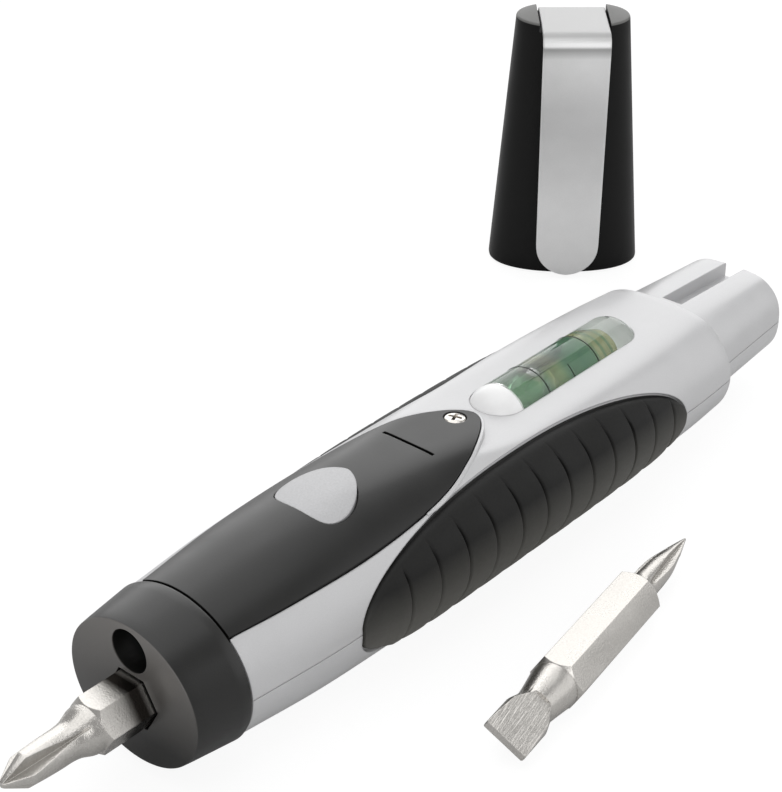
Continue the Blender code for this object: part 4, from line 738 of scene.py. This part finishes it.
# %% [markdown]
# ## Nose collar
# A black ring closes the nose. It is a loft with a small rounded rim, bored for the torch and
# broached with a hexagon for the bit. It stands a little proud of the silver, as moulded rings
# do, so its edge shows.

# %% Nose collar
def nose_collar():
    """Black ring with a closed front, a torch hole and a hexagon hole."""
    rings = []
    for angle in (90, 60, 30, 0):
        a = math.radians(angle)
        rings.append(section(0.18 * (1 - math.sin(a)), *half_sizes(0.0, 0.18 * (1 - math.cos(a))),
                             blend=0.4))
    for share in (0.2, 0.4, 0.6, 0.8, 0.96):
        rings.append(section(7.6 * share, *half_sizes(7.6 * share, -0.3 * share), blend=0.4))
    rings.append(section(7.6, *half_sizes(7.6, -0.15), blend=0.4))
    for x in (7.6, 10.2):
        rings.append(section(x, *half_sizes(x, 2.7), inset=2.7))
    piece = loft(rings)
    return carve(piece, [rod(5.6, -4, 16, TORCH_HEIGHT), rod(8.026, -4, 16, BIT_HEIGHT, sides=6)])


finish_piece(nose_collar(), "nose_ring", "pen_body", ["nose_collar"], NOSE_BLACK)


# %% [markdown]
# ## Battery cover
# A thin curved lid, cut out of the body's own form so that it follows it exactly. It has an
# opening for the button, a slot for a fingernail and a seat for its screw.

# %% Battery cover
def battery_cover():
    """Thin curved cover with a button hole, a nail slot and a screw seat."""
    piece = body_form(7.9, 63, -0.16, 1.6, 160)
    carve(piece, [body_form(3.9, 67, 1.2, 2.0, 96)])
    carve(piece, [prism(cover_outline(), AXIS + 2, 30)], "INTERSECT")
    seat = TILT @ Matrix.Translation((SCREW_X, 0, 0))
    return carve(piece, [prism(button_outline(0.14), AXIS, 30),
                         box((47.1, -4.1, -0.6), (47.6, 4.1, 4), matrix=TILT),
                         lathe([(0, -1.1), (1.54, -1.1), (1.54, 4), (0, 4)], 48, matrix=seat),
                         lathe([(0, -4), (1.1, -4), (1.1, 4), (0, 4)], 24, matrix=seat)])


finish_piece(battery_cover(), "black_cover", "cover", ["battery_cover"], BLACK)


# %% [markdown]
# ## Torch button
# The silver button is a rocker: flush at its front and proud at its rear, with a flange below
# the cover that keeps it in. The head is the body's form tipped about its front edge.

# %% Torch button
def torch_button():
    """Silver egg, flush in front and proud behind, with a flange under the cover."""
    pivot = Matrix.Translation((27.03, 0, AXIS + half_sizes(27.03)[1]))
    head = body_form(23, 40, 0.0, 1.0, 144)
    head.data.transform(pivot @ Matrix.Rotation(-math.radians(7.5), 4, "Y") @ pivot.inverted())
    carve(head, [prism(button_outline(), AXIS + 2, 30)], "INTERSECT")
    skirt = body_form(25, 38, 1.5, 1.0, 96)
    carve(skirt, [prism(button_outline(0.8), AXIS, 30)], "INTERSECT")
    foot = lathe([(0, 19), (1.5, 19), (1.5, 20.4), (0, 20.4)], 32,
                 matrix=Matrix.Translation((30.85, 0, 0)))
    carve(head, [skirt], "UNION")
    carve(head, [body_form(23, 40, 2.3, 1.0, 96)])
    return carve(head, [foot], "UNION")


finish_piece(torch_button(), "silver_button", "button", ["switch_button"], BUTTON_SILVER)


# %% [markdown]
# ## Ribbed grips
# The rubber pads have soft bands with narrow grooves between them. Geometry Nodes moves a fine
# skin along its outward direction by a curve that repeats, which is easy to steer: the number
# and height of the ribs are inputs. Attributes fade the grooves out near the upper rim.

# %% Ribbed grips
def new_geometry_tree(name, numbers, material):
    """An empty Geometry Nodes tree with number inputs and one material input."""
    tree = bpy.data.node_groups.new(name, "GeometryNodeTree")
    tree.interface.new_socket("Geometry", in_out="INPUT", socket_type="NodeSocketGeometry")
    for label, value in numbers.items():
        tree.interface.new_socket(label, in_out="INPUT",
                                  socket_type="NodeSocketFloat").default_value = value
    tree.interface.new_socket(material, in_out="INPUT", socket_type="NodeSocketMaterial")
    tree.interface.new_socket("Geometry", in_out="OUTPUT", socket_type="NodeSocketGeometry")
    return tree, node(tree, "NodeGroupInput").outputs


def end_tree(tree, geometry, material):
    """Realise, paint and hand out the geometry."""
    real = node(tree, "GeometryNodeRealizeInstances", {0: geometry})
    paint = node(tree, "GeometryNodeSetMaterial",
                 {"Geometry": real.outputs[0], "Material": material})
    node(tree, "NodeGroupOutput", {0: paint.outputs[0]})
    return tree


RIB_CURVE = ((0.028, 0.42), (0.06, 0.88), (0.16, 0.96), (0.5, 1.0), (0.84, 0.96), (0.94, 0.88),
             (0.972, 0.42))


def ribs_tree():
    """Geometry Nodes that raise ribs on a skin along its own outward direction."""
    tree, enter = new_geometry_tree("rubber_ribs", {"Ribs": 12.0, "Rib Height": 0.6}, "Rubber")

    def attribute(label, kind):
        return node(tree, "GeometryNodeInputNamedAttribute", {"Name": label},
                    data_type=kind).outputs["Attribute"]

    turns = maths(tree, "MULTIPLY", attribute("along", "FLOAT"), enter["Ribs"])
    shape = node(tree, "ShaderNodeFloatCurve", {"Value": maths(tree, "FRACT", turns)})
    points = shape.mapping.curves[0].points
    points[0].location, points[1].location = (0.0, 0.0), (1.0, 0.0)
    for spot in RIB_CURVE:
        points.new(*spot)
    shape.mapping.update()
    rise = maths(tree, "MULTIPLY", maths(tree, "SUBTRACT", shape.outputs[0], 0.55),
                 maths(tree, "MULTIPLY", enter["Rib Height"], attribute("fade", "FLOAT")))
    offset = node(tree, "ShaderNodeVectorMath",
                  {0: attribute("outward", "FLOAT_VECTOR"), "Scale": rise}, operation="SCALE")
    move = node(tree, "GeometryNodeSetPosition",
                {"Geometry": enter["Geometry"], "Offset": offset.outputs[0]})
    return end_tree(tree, move.outputs[0], enter["Rubber"])


def with_nodes(piece, tree, **values):
    """Run a Geometry Nodes tree on a piece and keep the result as a plain mesh."""
    step = piece.modifiers.new(tree.name, "NODES")
    step.node_group = tree
    sockets = {s.name: s.identifier for s in tree.interface.items_tree if s.in_out == "INPUT"}
    for label, value in values.items():
        step[sockets[label.replace("_", " ")]] = value
    return carve(piece, [])


RIBS = ribs_tree()


def ribbed_grip(side):
    """One rubber grip: a fine skin with three attributes that steer the ribs."""
    outer_levels = [1 - 2 * j / 56 for j in range(57)]
    inner_levels = [2 * j / 8 - 1 for j in range(9)]
    rings, facts = [], []
    count = 560
    for k in range(count + 1):
        share = k / count
        along = 2 * share - 1
        taper = max(0.0, 1 - abs(along * 0.996) ** 2.3) ** (1 / 2.3)

        def lift(level):
            return 0.3 - 1.1 * abs(level) ** 14 * (1 if abs(level) > 0.8 else 0.0)

        outer = grip_section(share, -0.05, outer_levels, lift)
        inner = grip_section(share, -0.05, inner_levels,
                             lambda level: -1.3 * (0.35 + 0.65 * (1 - level * level)))
        rings.append([(x, side * y, z) for x, y, z in outer + inner])
        for level in outer_levels:
            top = min(1.0, max(0.0, (0.93 - level) / 0.45))
            low = min(1.0, max(0.0, (level + 1.0) / 0.12))
            start = min(1.0, max(0.0, (share - 0.06) / 0.03))
            fade = top * top * (3 - 2 * top) * low * min(1.0, taper * 1.5) * start
            angle = math.asin(max(-0.97, min(0.97, level * 0.8)))
            facts.append((share - 0.0402, fade, (0.0, side * math.cos(angle), math.sin(angle))))
        facts += [(share, 0.0, (0.0, 0.0, 0.0))] * len(inner_levels)
    piece = loft(rings, "grip")
    mesh = piece.data
    for label, kind, column in (("along", "FLOAT", 0), ("fade", "FLOAT", 1)):
        mesh.attributes.new(label, kind, "POINT").data.foreach_set(
            "value", [fact[column] for fact in facts])
    mesh.attributes.new("outward", "FLOAT_VECTOR", "POINT").data.foreach_set(
        "vector", [v for fact in facts for v in fact[2]])
    return with_nodes(piece, RIBS, Ribs=13.2, Rib_Height=0.75, Rubber=RUBBER)


for side, label in ((1, "left"), (-1, "right")):
    finish_piece(ribbed_grip(side), f"rubber_grip_{label}", "pen_body", [f"{label}_grip"], RUBBER,
                 sharp=50)


# %% [markdown]
# ## The spirit level
# A clear tube with a round end holds green liquid and a bubble. A white plug closes it at the
# nose end, and it lies in a pale trough, so that daylight comes back through the liquid. The
# tube and the liquid are turned solids. The bubble is a hollow cut from the liquid.

# %% Glass and liquid
def glass_of(name, colour, rough, ior, through=1.0, zones=()):
    """Clear plastic or liquid that lets light through to what lies below it."""
    mat = bpy.data.materials.new(name)
    mat.use_nodes = True
    tree = mat.node_tree
    shader = tree.nodes["Principled BSDF"]
    shader.inputs["Transmission Weight"].default_value = through
    shader.inputs["IOR"].default_value = ior
    mat.diffuse_color = (*colour, 1.0)
    patches = place_group(tree, GRAIN, Scale=900.0).outputs["Patches"]
    pale = tuple(c + (1 - c) * 0.12 for c in colour)
    tint = mix_colours(tree, patches, colour, pale)
    for zone in zones:
        tint = with_zone(tree, tint, patches, zone)
    tree.links.new(tint, shader.inputs["Base Color"])
    tree.links.new(maths(tree, "MULTIPLY", patches, 2 * rough), shader.inputs["Roughness"])
    ray = node(tree, "ShaderNodeLightPath").outputs
    unseen = maths(tree, "MAXIMUM", ray["Is Shadow Ray"], ray["Is Diffuse Ray"])
    clear = node(tree, "ShaderNodeBsdfTransparent", {"Color": (*pale, 1.0)})
    blend = node(tree, "ShaderNodeMixShader",
                 {0: unseen, 1: shader.outputs[0], 2: clear.outputs[0]})
    tree.links.new(blend.outputs[0], tree.nodes["Material Output"].inputs["Surface"])
    return mat


ACRYLIC = glass_of("clear_acrylic", (0.985, 0.99, 0.985), 0.01, 1.40, 0.95)
# painted refraction: the yellow and dark green zones along the liquid
LIQUID = glass_of("green_liquid", (0.30, 0.60, 0.36), 0.0, 1.33, 0.82,
                  zones=[((0.05, 0.27, 0.14), ("X", 23.0, 26.0), ("X", 33.0, 31.0)),
                         ((0.62, 0.68, 0.30), ("X", 20.2, 21.6), ("X", 25.0, 23.5)),
                         ((0.56, 0.55, 0.28), ("X", 30.4, 31.4)),
                         ((0.12, 0.34, 0.16), ("X", 32.2, 32.5), ("X", 33.1, 32.8)),
                         ((0.12, 0.34, 0.16), ("X", 34.1, 34.4), ("X", 35.0, 34.7)),
                         ((0.93, 0.97, 0.80), ("EGG", (19.7, 0.0, 17.75), (4.15, 2.5, 2.5)))])
LENS = glass_of("torch_lens", (0.94, 0.95, 0.96), 0.06, 1.45, 0.3)
INK = finish_of("black_ink", (0.008, 0.012, 0.01), (0.02, 0.025, 0.02), (0.3, 0.4))

# %% [markdown]
# ## Tube, liquid, bubble and plug
# The tube is turned and bored, with a ribbed cone at the end of its bore. The liquid fills it and
# overlaps the wall by a hair, so that no air shows between them. The bubble is an ellipsoid cut
# from the liquid, and lies towards the nose as in the photograph. The liquid's yellow and
# dark green zones are painted too, where the photograph shows refraction.

# %% Tube, liquid, bubble and plug
TUBE_START, BORE = 65.95, 3.1
VIAL_SIDES = 96
OVERLAP = 0.04


def bore_end(extra=0.0):
    """The bore's far end: a ribbed cone, listed from its tip."""
    line = [(0.0, 89.1 + extra), (1.1, 88.9)]
    for k in range(7):
        radius = 1.75 + 0.2 * k
        line += [(radius - 0.12, 88.55 - 0.6 * k), (radius, 88.25 - 0.6 * k)]
    return [(r + (extra if r else 0.0), x) for r, x in line]


def vial_pieces():
    """The parts of the level. The liquid overlaps its bore by a hair, so no air shows between."""
    inside = bore_end() + [(BORE, 84.2), (BORE, TUBE_START)]
    tube = lathe(vial_profile(TUBE_RADIUS, TUBE_START, 24) + inside[::-1], VIAL_SIDES, "tube", VIAL)
    wet = bore_end(OVERLAP) + [(BORE + OVERLAP, 84.2), (BORE + OVERLAP, 67.05)]
    liquid = lathe(wet + [(0.0, 67.05)], VIAL_SIDES, "liquid", VIAL)
    half = 4.1
    swell = [math.pi * k / 40 for k in range(41)]
    bubble = lathe([(2.45 * math.sin(a), 72.2 + half * math.cos(a)) for a in swell], VIAL_SIDES,
                   "bubble", VIAL @ Matrix.Translation((-0.75, 0, 0)))
    carve(liquid, [bubble])
    arc = [math.pi / 2 * k / 20 for k in range(21)]
    nose = [(TUBE_RADIUS * math.cos(a), VIAL_FRONT - TUBE_RADIUS * math.sin(a)) for a in arc]
    plug = lathe([(0.0, 67.0), (BORE - 0.2, 67.0), (BORE - 0.2, 65.93), (4.28, 65.93)] + nose,
                 VIAL_SIDES, "plug", VIAL)
    return tube, liquid, plug


tube, liquid, plug = vial_pieces()
finish_piece(tube, "level_tube", "pen_body", ["vial_tube"], ACRYLIC, sharp=60)
finish_piece(liquid, "level_liquid", "pen_body", ["vial_liquid"], LIQUID, sharp=180)
finish_piece(plug, "level_plug", "pen_body", ["vial_plug"], WHITE, sharp=40)


# %% [markdown]
# ## Trough under the vial
# A pale trough under the tube sends light back through the liquid, as white plastic does in
# real levels. It is a turned shell cut off below the rim of the bed.

# %% Trough under the vial
def level_trough():
    """Thin white half shell under the tube and round its far end."""
    piece = lathe(vial_profile(TROUGH_RADIUS, 66.0, 24) + [(0.0, 66.0)], VIAL_SIDES, "trough", VIAL)
    inside = lathe(vial_profile(BED_RADIUS, 64.0, 24) + [(0.0, 64.0)], VIAL_SIDES, "inside", VIAL)
    return carve(piece, [inside, box((40, -20, 18.5), (130, 20, 60))])


finish_piece(level_trough(), "level_trough", "pen_body", [], WHITE)


# %% [markdown]
# ## Marks on the tube
# The level is read between two printed rings, with a short mark beside them. Geometry Nodes
# sweeps a thread round an arc and repeats it, so the count and the spacing are inputs. Printing
# them as a texture would need an image.

# %% Marks on the tube
def marks_tree():
    """Geometry Nodes that lay thin rings round a tube from arcs."""
    tree, enter = new_geometry_tree(
        "level_marks", {"Radius": 4.27, "Start": 0.0, "Sweep": 3.0, "Width": 0.10, "Count": 2.0,
                        "Spacing": 10.9, "First": 71.7}, "Ink")
    arc = node(tree, "GeometryNodeCurveArc", {"Resolution": 72, "Radius": enter["Radius"],
                                              "Start Angle": enter["Start"],
                                              "Sweep Angle": enter["Sweep"]})
    thread = node(tree, "GeometryNodeCurvePrimitiveCircle",
                  {"Resolution": 8, "Radius": enter["Width"]})
    sweep = node(tree, "GeometryNodeCurveToMesh",
                 {"Curve": arc.outputs[0], "Profile Curve": thread.outputs[0], "Fill Caps": True})
    first, gap = (node(tree, "ShaderNodeCombineXYZ", {"Z": enter[label]}).outputs[0]
                  for label in ("First", "Spacing"))
    line = node(tree, "GeometryNodeMeshLine",
                {"Count": enter["Count"], "Start Location": first, "Offset": gap})
    copies = node(tree, "GeometryNodeInstanceOnPoints",
                  {"Points": line.outputs[0], "Instance": sweep.outputs[0]})
    return end_tree(tree, copies.outputs[0], enter["Ink"])


MARKS = marks_tree()


def level_marks(**values):
    """Rings in the tube's own place."""
    piece = with_nodes(add("marks", bmesh.new()), MARKS, Ink=INK, **values)
    piece.data.transform(VIAL)
    return piece


rings = level_marks(Start=math.radians(93), Sweep=math.radians(174))
short = level_marks(Start=math.radians(215), Sweep=math.radians(45), Count=1.0, First=77.15)
finish_piece(carve(rings, [short], "UNION"), "level_rings", "pen_body", [], INK)

# %% [markdown]
# ## The cover screw
# A small pan-head screw with a cross recess holds the cover's tip. The head is turned and the
# recess is cut with two thin blocks.


# %% Screw
def cover_screw():
    """Pan head, shank and cross recess."""
    profile = [(0.0, 0.30), (0.5, 0.29), (0.9, 0.25), (1.2, 0.17), (1.4, 0.06), (1.48, -0.06),
               (1.5, -0.2), (1.5, -0.8), (0.8, -0.8)]
    for k in range(10):
        profile += [(0.8, -0.95 - 0.38 * k), (0.66, -1.14 - 0.38 * k)]
    profile += [(0.3, -5.0), (0.0, -5.1)]
    place = TILT @ Matrix.Translation((SCREW_X, 0, 0)) @ Matrix.Rotation(math.radians(20), 4, "Z")
    piece = lathe(profile, 64, "screw", place)
    blocks = []
    for long, thin in ((1.0, 0.23), (0.23, 1.0)):
        blocks.append(loft([[(sx * long * grow, sy * thin * grow, z) for sx, sy in
                             ((-1, -1), (1, -1), (1, 1), (-1, 1))]
                            for z, grow in ((-0.4, 0.7), (0.75, 1.1))]))
        blocks[-1].data.transform(place)
    return carve(piece, blocks)


finish_piece(cover_screw(), "cover_fixing_screw", "cover", ["cover_screw"], NICKEL)

# %% [markdown]
# ## Torch light
# The light in the torch hole is a clear round-nosed lens on a flange, with two leads behind it.

# %% Torch light
def torch_light():
    """Lens with a rounded tip, a flange and two leads."""
    arc = [math.pi / 2 * k / 16 for k in range(17)]
    profile = ([(2.3 * math.sin(a), 5.2 - 2.3 * math.cos(a)) for a in arc]
               + [(2.3, 10.5), (2.5, 10.5), (2.5, 11.5), (0.0, 11.5)])
    piece = lathe(profile, 64, "light", Matrix.Translation((0, 0, TORCH_HEIGHT)) @ ALONG_X)
    leads = [rod(0.5, 11.0, 15.5, TORCH_HEIGHT, side * 1.27, 16) for side in (-1, 1)]
    return carve(piece, leads, "UNION")


finish_piece(torch_light(), "torch_lens", "pen_body", ["led"], LENS, sharp=50)


# %% [markdown]
# ## Bits
# Both bits start as six-sided bars. Their ends are turned down, then blades are ground flat and
# flutes are cut with square-edged wheels. The turned ends are profiles spun round the axis and
# the flutes are exact cuts.

# %% Working ends of the bits
HEX, HEX_LONG = 6.35, 21.25


def facing(outwards):
    """Along the bit, away from its hexagon."""
    return Matrix.Rotation(outwards * math.pi / 2, 4, "Y")


def hex_bar():
    """Six-sided bar with both ends chamfered, along X from zero."""
    bar = rod(HEX / math.cos(math.pi / 6), 0, HEX_LONG, sides=6)
    corner = HEX / 2 / math.cos(math.pi / 6)
    top = lathe([(0, 0), (HEX / 2 * 0.985, 0), (corner + 0.05, 0.62),
                 (corner + 0.05, HEX_LONG - 0.62), (HEX / 2 * 0.985, HEX_LONG), (0, HEX_LONG)],
                96, "chamfers", ALONG_X)
    return carve(bar, [top], "INTERSECT")


ROOT = 3.08
END_SHARES = (0.0, 0.08, 0.2, 0.3, 0.5, 0.74)
WHEEL_SHARES = (0.04, 0.12, 0.25, 0.45, 0.7, 1.12)
STOUT = ((ROOT, 2.9, 2.35, 2.2, 2.22, 2.2), (3.26, 2.50, 1.98, 1.55, 1.0, 0.1), 0.5)
FINE = ((ROOT, 2.05, 1.92, 1.90, 1.72, 1.05), (2.6, 1.62, 1.35, 1.0, 0.52, 0.03), 0.2)


def cross_end(place, length, shape, outwards):
    """A turned end with four wide flutes whose bottoms rise in a curve to the hexagon."""
    radii, depths, tip = shape
    body = [(table(END_SHARES, radii, s), length * s) for s in steps(0, 0.74, 0.02)]
    body += [(radii[-1] * 0.97, length * 0.76), (tip, length * 0.985), (tip * 0.7, length)]
    piece = lathe([(0, -1.0), (ROOT, -1.0)] + body + [(0, length)], 96, "end",
                  place @ facing(outwards))
    cutters = []
    for index in range(4):
        sides = []
        for share in steps(0.04, 1.12, 0.045):
            depth, high = table(WHEEL_SHARES, depths, share), 5.0
            sides.append([(length * share, 0.0, depth), (length * share, depth - high, high),
                          (length * share, high - depth, high)])
        wheel = loft(sides)
        flip = Matrix.Rotation(math.pi if outwards < 0 else 0.0, 4, "Z")
        turn = Matrix.Rotation(math.pi / 4 + math.pi / 2 * index, 4, "X")
        wheel.data.transform(place @ flip @ turn)
        cutters.append(wheel)
    return carve(piece, cutters)


def blade_end(place, outwards):
    """A turned end ground flat on two sides."""
    length, head, neck = 12.0, 3.0, 2.5
    profile = [(0, length), (head - 0.15, length), (head, length - 0.15), (head, length * 0.62)]
    profile += smooth_path([(head, length * 0.6), (neck, length * 0.44),
                            (neck * 1.03, length * 0.34), (HEX / 2 * 0.97, length * 0.06)], 0.2)
    piece = lathe(profile + [(HEX / 2 * 0.97, -1.0), (0, -1.0)], 96, "end",
                  place @ facing(outwards))
    slope = math.atan2((4.4 - 1.0) / 2, 7.4)
    flip = Matrix.Rotation(math.pi if outwards < 0 else 0.0, 4, "Z")
    cutters = []
    for side in (0, 1):
        wheel = box((-14.8, -5, 0), (0.0, 5, 8))
        wheel.data.transform(place @ flip @ Matrix.Translation((length, 0, 0))
                             @ Matrix.Rotation(math.radians(180 * side + 30 * outwards), 4, "X")
                             @ Matrix.Translation((0, 0, 0.5))
                             @ Matrix.Rotation(slope, 4, "Y") @ Matrix.Translation((7.4, 0, 0)))
        cutters.append(wheel)
    return carve(piece, cutters)


# %% [markdown]
# ## Both bits
# One bit sits in the nose with its cross tip out. The other lies on the table with its blade
# towards the camera. They share one plated finish: speckled on the bars, with grinding lines on
# the blade.

# %% Both bits
# painted reflection: a dark band round the nose bit's hexagon just in front of the collar
BIT_STEEL = finish_of("bit_nickel", (0.42, 0.405, 0.38), (0.82, 0.795, 0.76), (0.22, 0.34),
                      metallic=1.0, grain=4400, depth=0.05, edge=0.12,
                      lines=(4600.0, 0.02, 0.148, 3.5, ("X", -16.5, -18.5), ("X", -48.0, -44.0)),
                      zones=[((0.07, 0.062, 0.055), ("X", -55.7, -54.5), ("X", -52.6, -53.4))])
nose_place = Matrix.Translation((-6.7, 0, BIT_HEIGHT))
nose_bit = hex_bar()
nose_bit.data.transform(nose_place)
carve(nose_bit, [cross_end(nose_place, 12.2, STOUT, -1),
                 blade_end(nose_place @ Matrix.Translation((HEX_LONG, 0, 0)), 1)], "UNION")
finish_piece(nose_bit, "nose_bit", "bit", ["driver_bit"], BIT_STEEL)

table_bit = hex_bar()
still = Matrix.Identity(4)
carve(table_bit, [blade_end(still, -1),
                  cross_end(Matrix.Translation((HEX_LONG, 0, 0)), 14.4, FINE, 1)],
      "UNION")
finish_piece(table_bit, "table_bit", "spare", ["spare_bit"], BIT_STEEL, SPARE)


# %% [markdown]
# ## Cap and clip
# The cap is one moulding: a tapering oval, shallow in front and deep behind, open below, with a
# channel across its top. The clip is a pressed strip that runs through the channel, bends over
# the front and ends round. The cap is a loft of ovals and the clip is a swept strip.

# %% Cap
CAP_HIGH = 42.6
LEVELS = (0.0, 0.25, 0.5, 0.75, 1.0)


def cap_section(height, side_inset=0.0, inset=0.0, points=144):
    """One level of the cap: an oval, shallow in front and deep behind."""
    share = height / CAP_HIGH
    half = (24.96 + (18.16 - 24.96) * share) / 2 - side_inset
    front = 7.4 * table(LEVELS, (1, 0.97, 0.92, 0.86, 0.78), share) - inset
    rear = 9.8 * table(LEVELS, (1, 0.97, 0.90, 0.77, 0.60), share) - inset
    ring = []
    for k in range(points):
        angle = 2 * math.pi * k / points
        y = power(math.sin(angle), 2.2)
        ring.append((half * power(math.cos(angle), 2.2), y * (rear if y > 0 else front), height))
    return ring


def cap_shell():
    """The cap's moulding."""
    rings = []
    for angle in (90, 60, 30, 0):
        a = math.radians(angle)
        rings.append(cap_section(0.45 * (1 - math.sin(a)), *[0.45 * (1 - math.cos(a))] * 2))
    rings += [cap_section(height) for height in steps(2.0, 40.0, 2.0)]
    for angle in (0, 25, 45, 65, 90):
        a = math.radians(angle)
        rings.append(cap_section(CAP_HIGH - 0.4 * (1 - math.sin(a)),
                                 *[0.4 * (1 - math.cos(a))] * 2))
    piece = loft(rings)
    inside = loft([cap_section(h, 1.9, 1.0, 96) for h in steps(-4.0, 38.9, 3.0)])
    return carve(piece, [inside, box((-5.65, -20, 41.3), (5.65, 25, 50)),
                         box((-5.65, 3.1, 39.1), (5.65, 4.9, 50))])


finish_piece(cap_shell(), "pen_cap", "cap", ["cap_shell"], CAP_BLACK, CAP)


# %% [markdown]
# ## Clip
# A strip of aluminium is bent over the cap's front and rounded at its end. It is a rounded
# section carried along a path of points, which keeps its thickness true through the bend.

# %% Clip
def clip_strip():
    """A strip swept along its side profile, with a rounded section and a round end."""
    top, reach, bend = 42.4, 9.8, 2.4
    half, back = 0.4, -4.28
    path = [(back + half, 39.6)] + [(back + half, z) for z in (40.4, 41.2, 41.7)]
    path += [(back + half + 0.3 * (1 - math.cos(a)), 41.7 + 0.3 * math.sin(a))
             for a in (0.5, 1.0, math.pi / 2)]
    path += [(y, top - half) for y in steps(back + 1.2, reach - bend, 1.0)]
    path += [(reach - bend + (bend - half) * math.sin(a), top - bend + (bend - half) * math.cos(a))
             for a in [math.pi / 2 * k / 16 for k in range(1, 17)]]
    drop = top - bend - 0.4
    path += [(reach - half - 0.8 * t, top - bend - drop * t) for t in steps(0.04, 0.86, 0.04)]
    end = 5.1
    path += [(reach - half - 0.8 * (1 - h / drop), 0.4 + h)
             for h in [end * (1 - math.sin(math.pi / 2 * k / 16)) for k in range(1, 17)]]
    rings = []
    for k, (forward, height) in enumerate(path):
        a = path[max(0, k - 1)]
        b = path[min(len(path) - 1, k + 1)]
        along = Vector((b[0] - a[0], b[1] - a[1])).normalized()
        width = (10.2 + (10.7 - 10.2) * min(1.0, height / 42.6)) / 2
        if height < end + 0.4 and forward > 0:
            width = math.sqrt(max(0.04, end ** 2 - (end + 0.4 - height) ** 2))
        corner = min(0.22, width * 0.5)
        ring = []
        for sx, sy, start in ((1, 1, 0), (-1, 1, 90), (-1, -1, 180), (1, -1, 270)):
            for step in range(5):
                turn = math.radians(start + 22.5 * step)
                across = sx * (width - corner) + corner * math.cos(turn)
                out = sy * (half - 0.22) + 0.22 * math.sin(turn)
                ring.append((across, -(forward - along.y * out), height + along.x * out))
        rings.append(ring)
    return loft(rings)


finish_piece(clip_strip(), "pen_clip", "clip", ["pocket_clip"], CLIP_METAL, CAP)


# %% [markdown]
# ## Floor and lights
# The photograph is lit softly on a white sweep. A large lamp behind gives the black parts their
# sheen, one overhead and two in front keep the sides even. The floor glows only for the camera,
# so it shows white and still keeps a soft shadow.

# %% Floor and lights
def floor():
    """Pale floor that shows white to the camera and still keeps the shadow."""
    bm = bmesh.new()
    bmesh.ops.create_grid(bm, x_segments=1, y_segments=1, size=3.0)
    piece = add("studio_floor", bm)
    piece.location.z = -0.0002
    mat = bpy.data.materials.new("pale_floor")
    mat.use_nodes = True
    tree = mat.node_tree
    shader = tree.nodes["Principled BSDF"]
    shader.inputs["Base Color"].default_value = (0.62, 0.62, 0.62, 1.0)
    shader.inputs["Roughness"].default_value = 0.9
    shader.inputs["Specular IOR Level"].default_value = 0.1
    ray = node(tree, "ShaderNodeLightPath").outputs
    seen = maths(tree, "MAXIMUM", maths(tree, "MULTIPLY", ray["Is Camera Ray"], 0.75),
                 maths(tree, "MULTIPLY", ray["Is Transmission Ray"], 0.6))
    glow = node(tree, "ShaderNodeEmission", {"Strength": 1.2})
    blend = node(tree, "ShaderNodeMixShader", {0: seen, 1: shader.outputs[0], 2: glow.outputs[0]})
    tree.links.new(blend.outputs[0], tree.nodes["Material Output"].inputs["Surface"])
    piece.data.materials.append(mat)


def softbox(name, place, size, power):
    """A square soft lamp that looks at the middle of the table."""
    light = bpy.data.lights.new(name, "AREA")
    light.shape, light.size, light.energy = "SQUARE", size, power
    lamp = bpy.data.objects.new(name, light)
    lamp.location = place
    lamp.rotation_mode = "QUATERNION"
    lamp.rotation_quaternion = (-Vector(place)).to_track_quat("-Z", "Y")
    bpy.context.scene.collection.objects.link(lamp)


floor()
# name, place, size of the square, radiance
LAMPS = (("overhead_light", (0.0, 0.12, 0.80), 0.9, 1.0),
         ("back_light", (1.0, 0.85, 0.52), 1.7, 1.38),
         ("side_light", (0.80, -0.85, 0.36), 1.1, 0.62),
         ("front_light", (-0.75, -0.95, 0.62), 0.9, 1.45))
for name, place, size, strength in LAMPS:
    softbox(name, place, size, 3.14 * round(size * size, 2) * strength)
print(len(LAMPS), "lamps")
world = bpy.data.worlds.new("studio_world")
world.use_nodes = True
tree = world.node_tree
light = tree.nodes["Background"]
light.inputs["Color"].default_value = (1, 1, 1, 1)
light.inputs["Strength"].default_value = 0.42
sky = node(tree, "ShaderNodeBackground", {"Color": (1, 1, 1, 1), "Strength": 1.0})
ray = node(tree, "ShaderNodeLightPath").outputs["Is Camera Ray"]
mixer = node(tree, "ShaderNodeMixShader", {0: ray, 1: light.outputs[0], 2: sky.outputs[0]})
tree.links.new(mixer.outputs[0], tree.nodes["World Output"].inputs["Surface"])
bpy.context.scene.world = world

# %% [markdown]
# ## The works inside, and the end
# The imported solids inside the pen keep their form and get better materials: steel cells, brass
# springs, a green board.

# %% Finish
for node, finish in (("bit_socket", STEEL), ("socket_magnet", MAGNET), ("circuit_board", BOARD),
                     ("push_switch", BLACK), ("switch_plunger", WHITE),
                     ("button_cell_1", STEEL), ("button_cell_2", STEEL), ("button_cell_3", STEEL),
                     ("battery_contact_front", BRASS), ("battery_contact_rear", BRASS),
                     ):
    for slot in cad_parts[node].material_slots:
        slot.material = finish
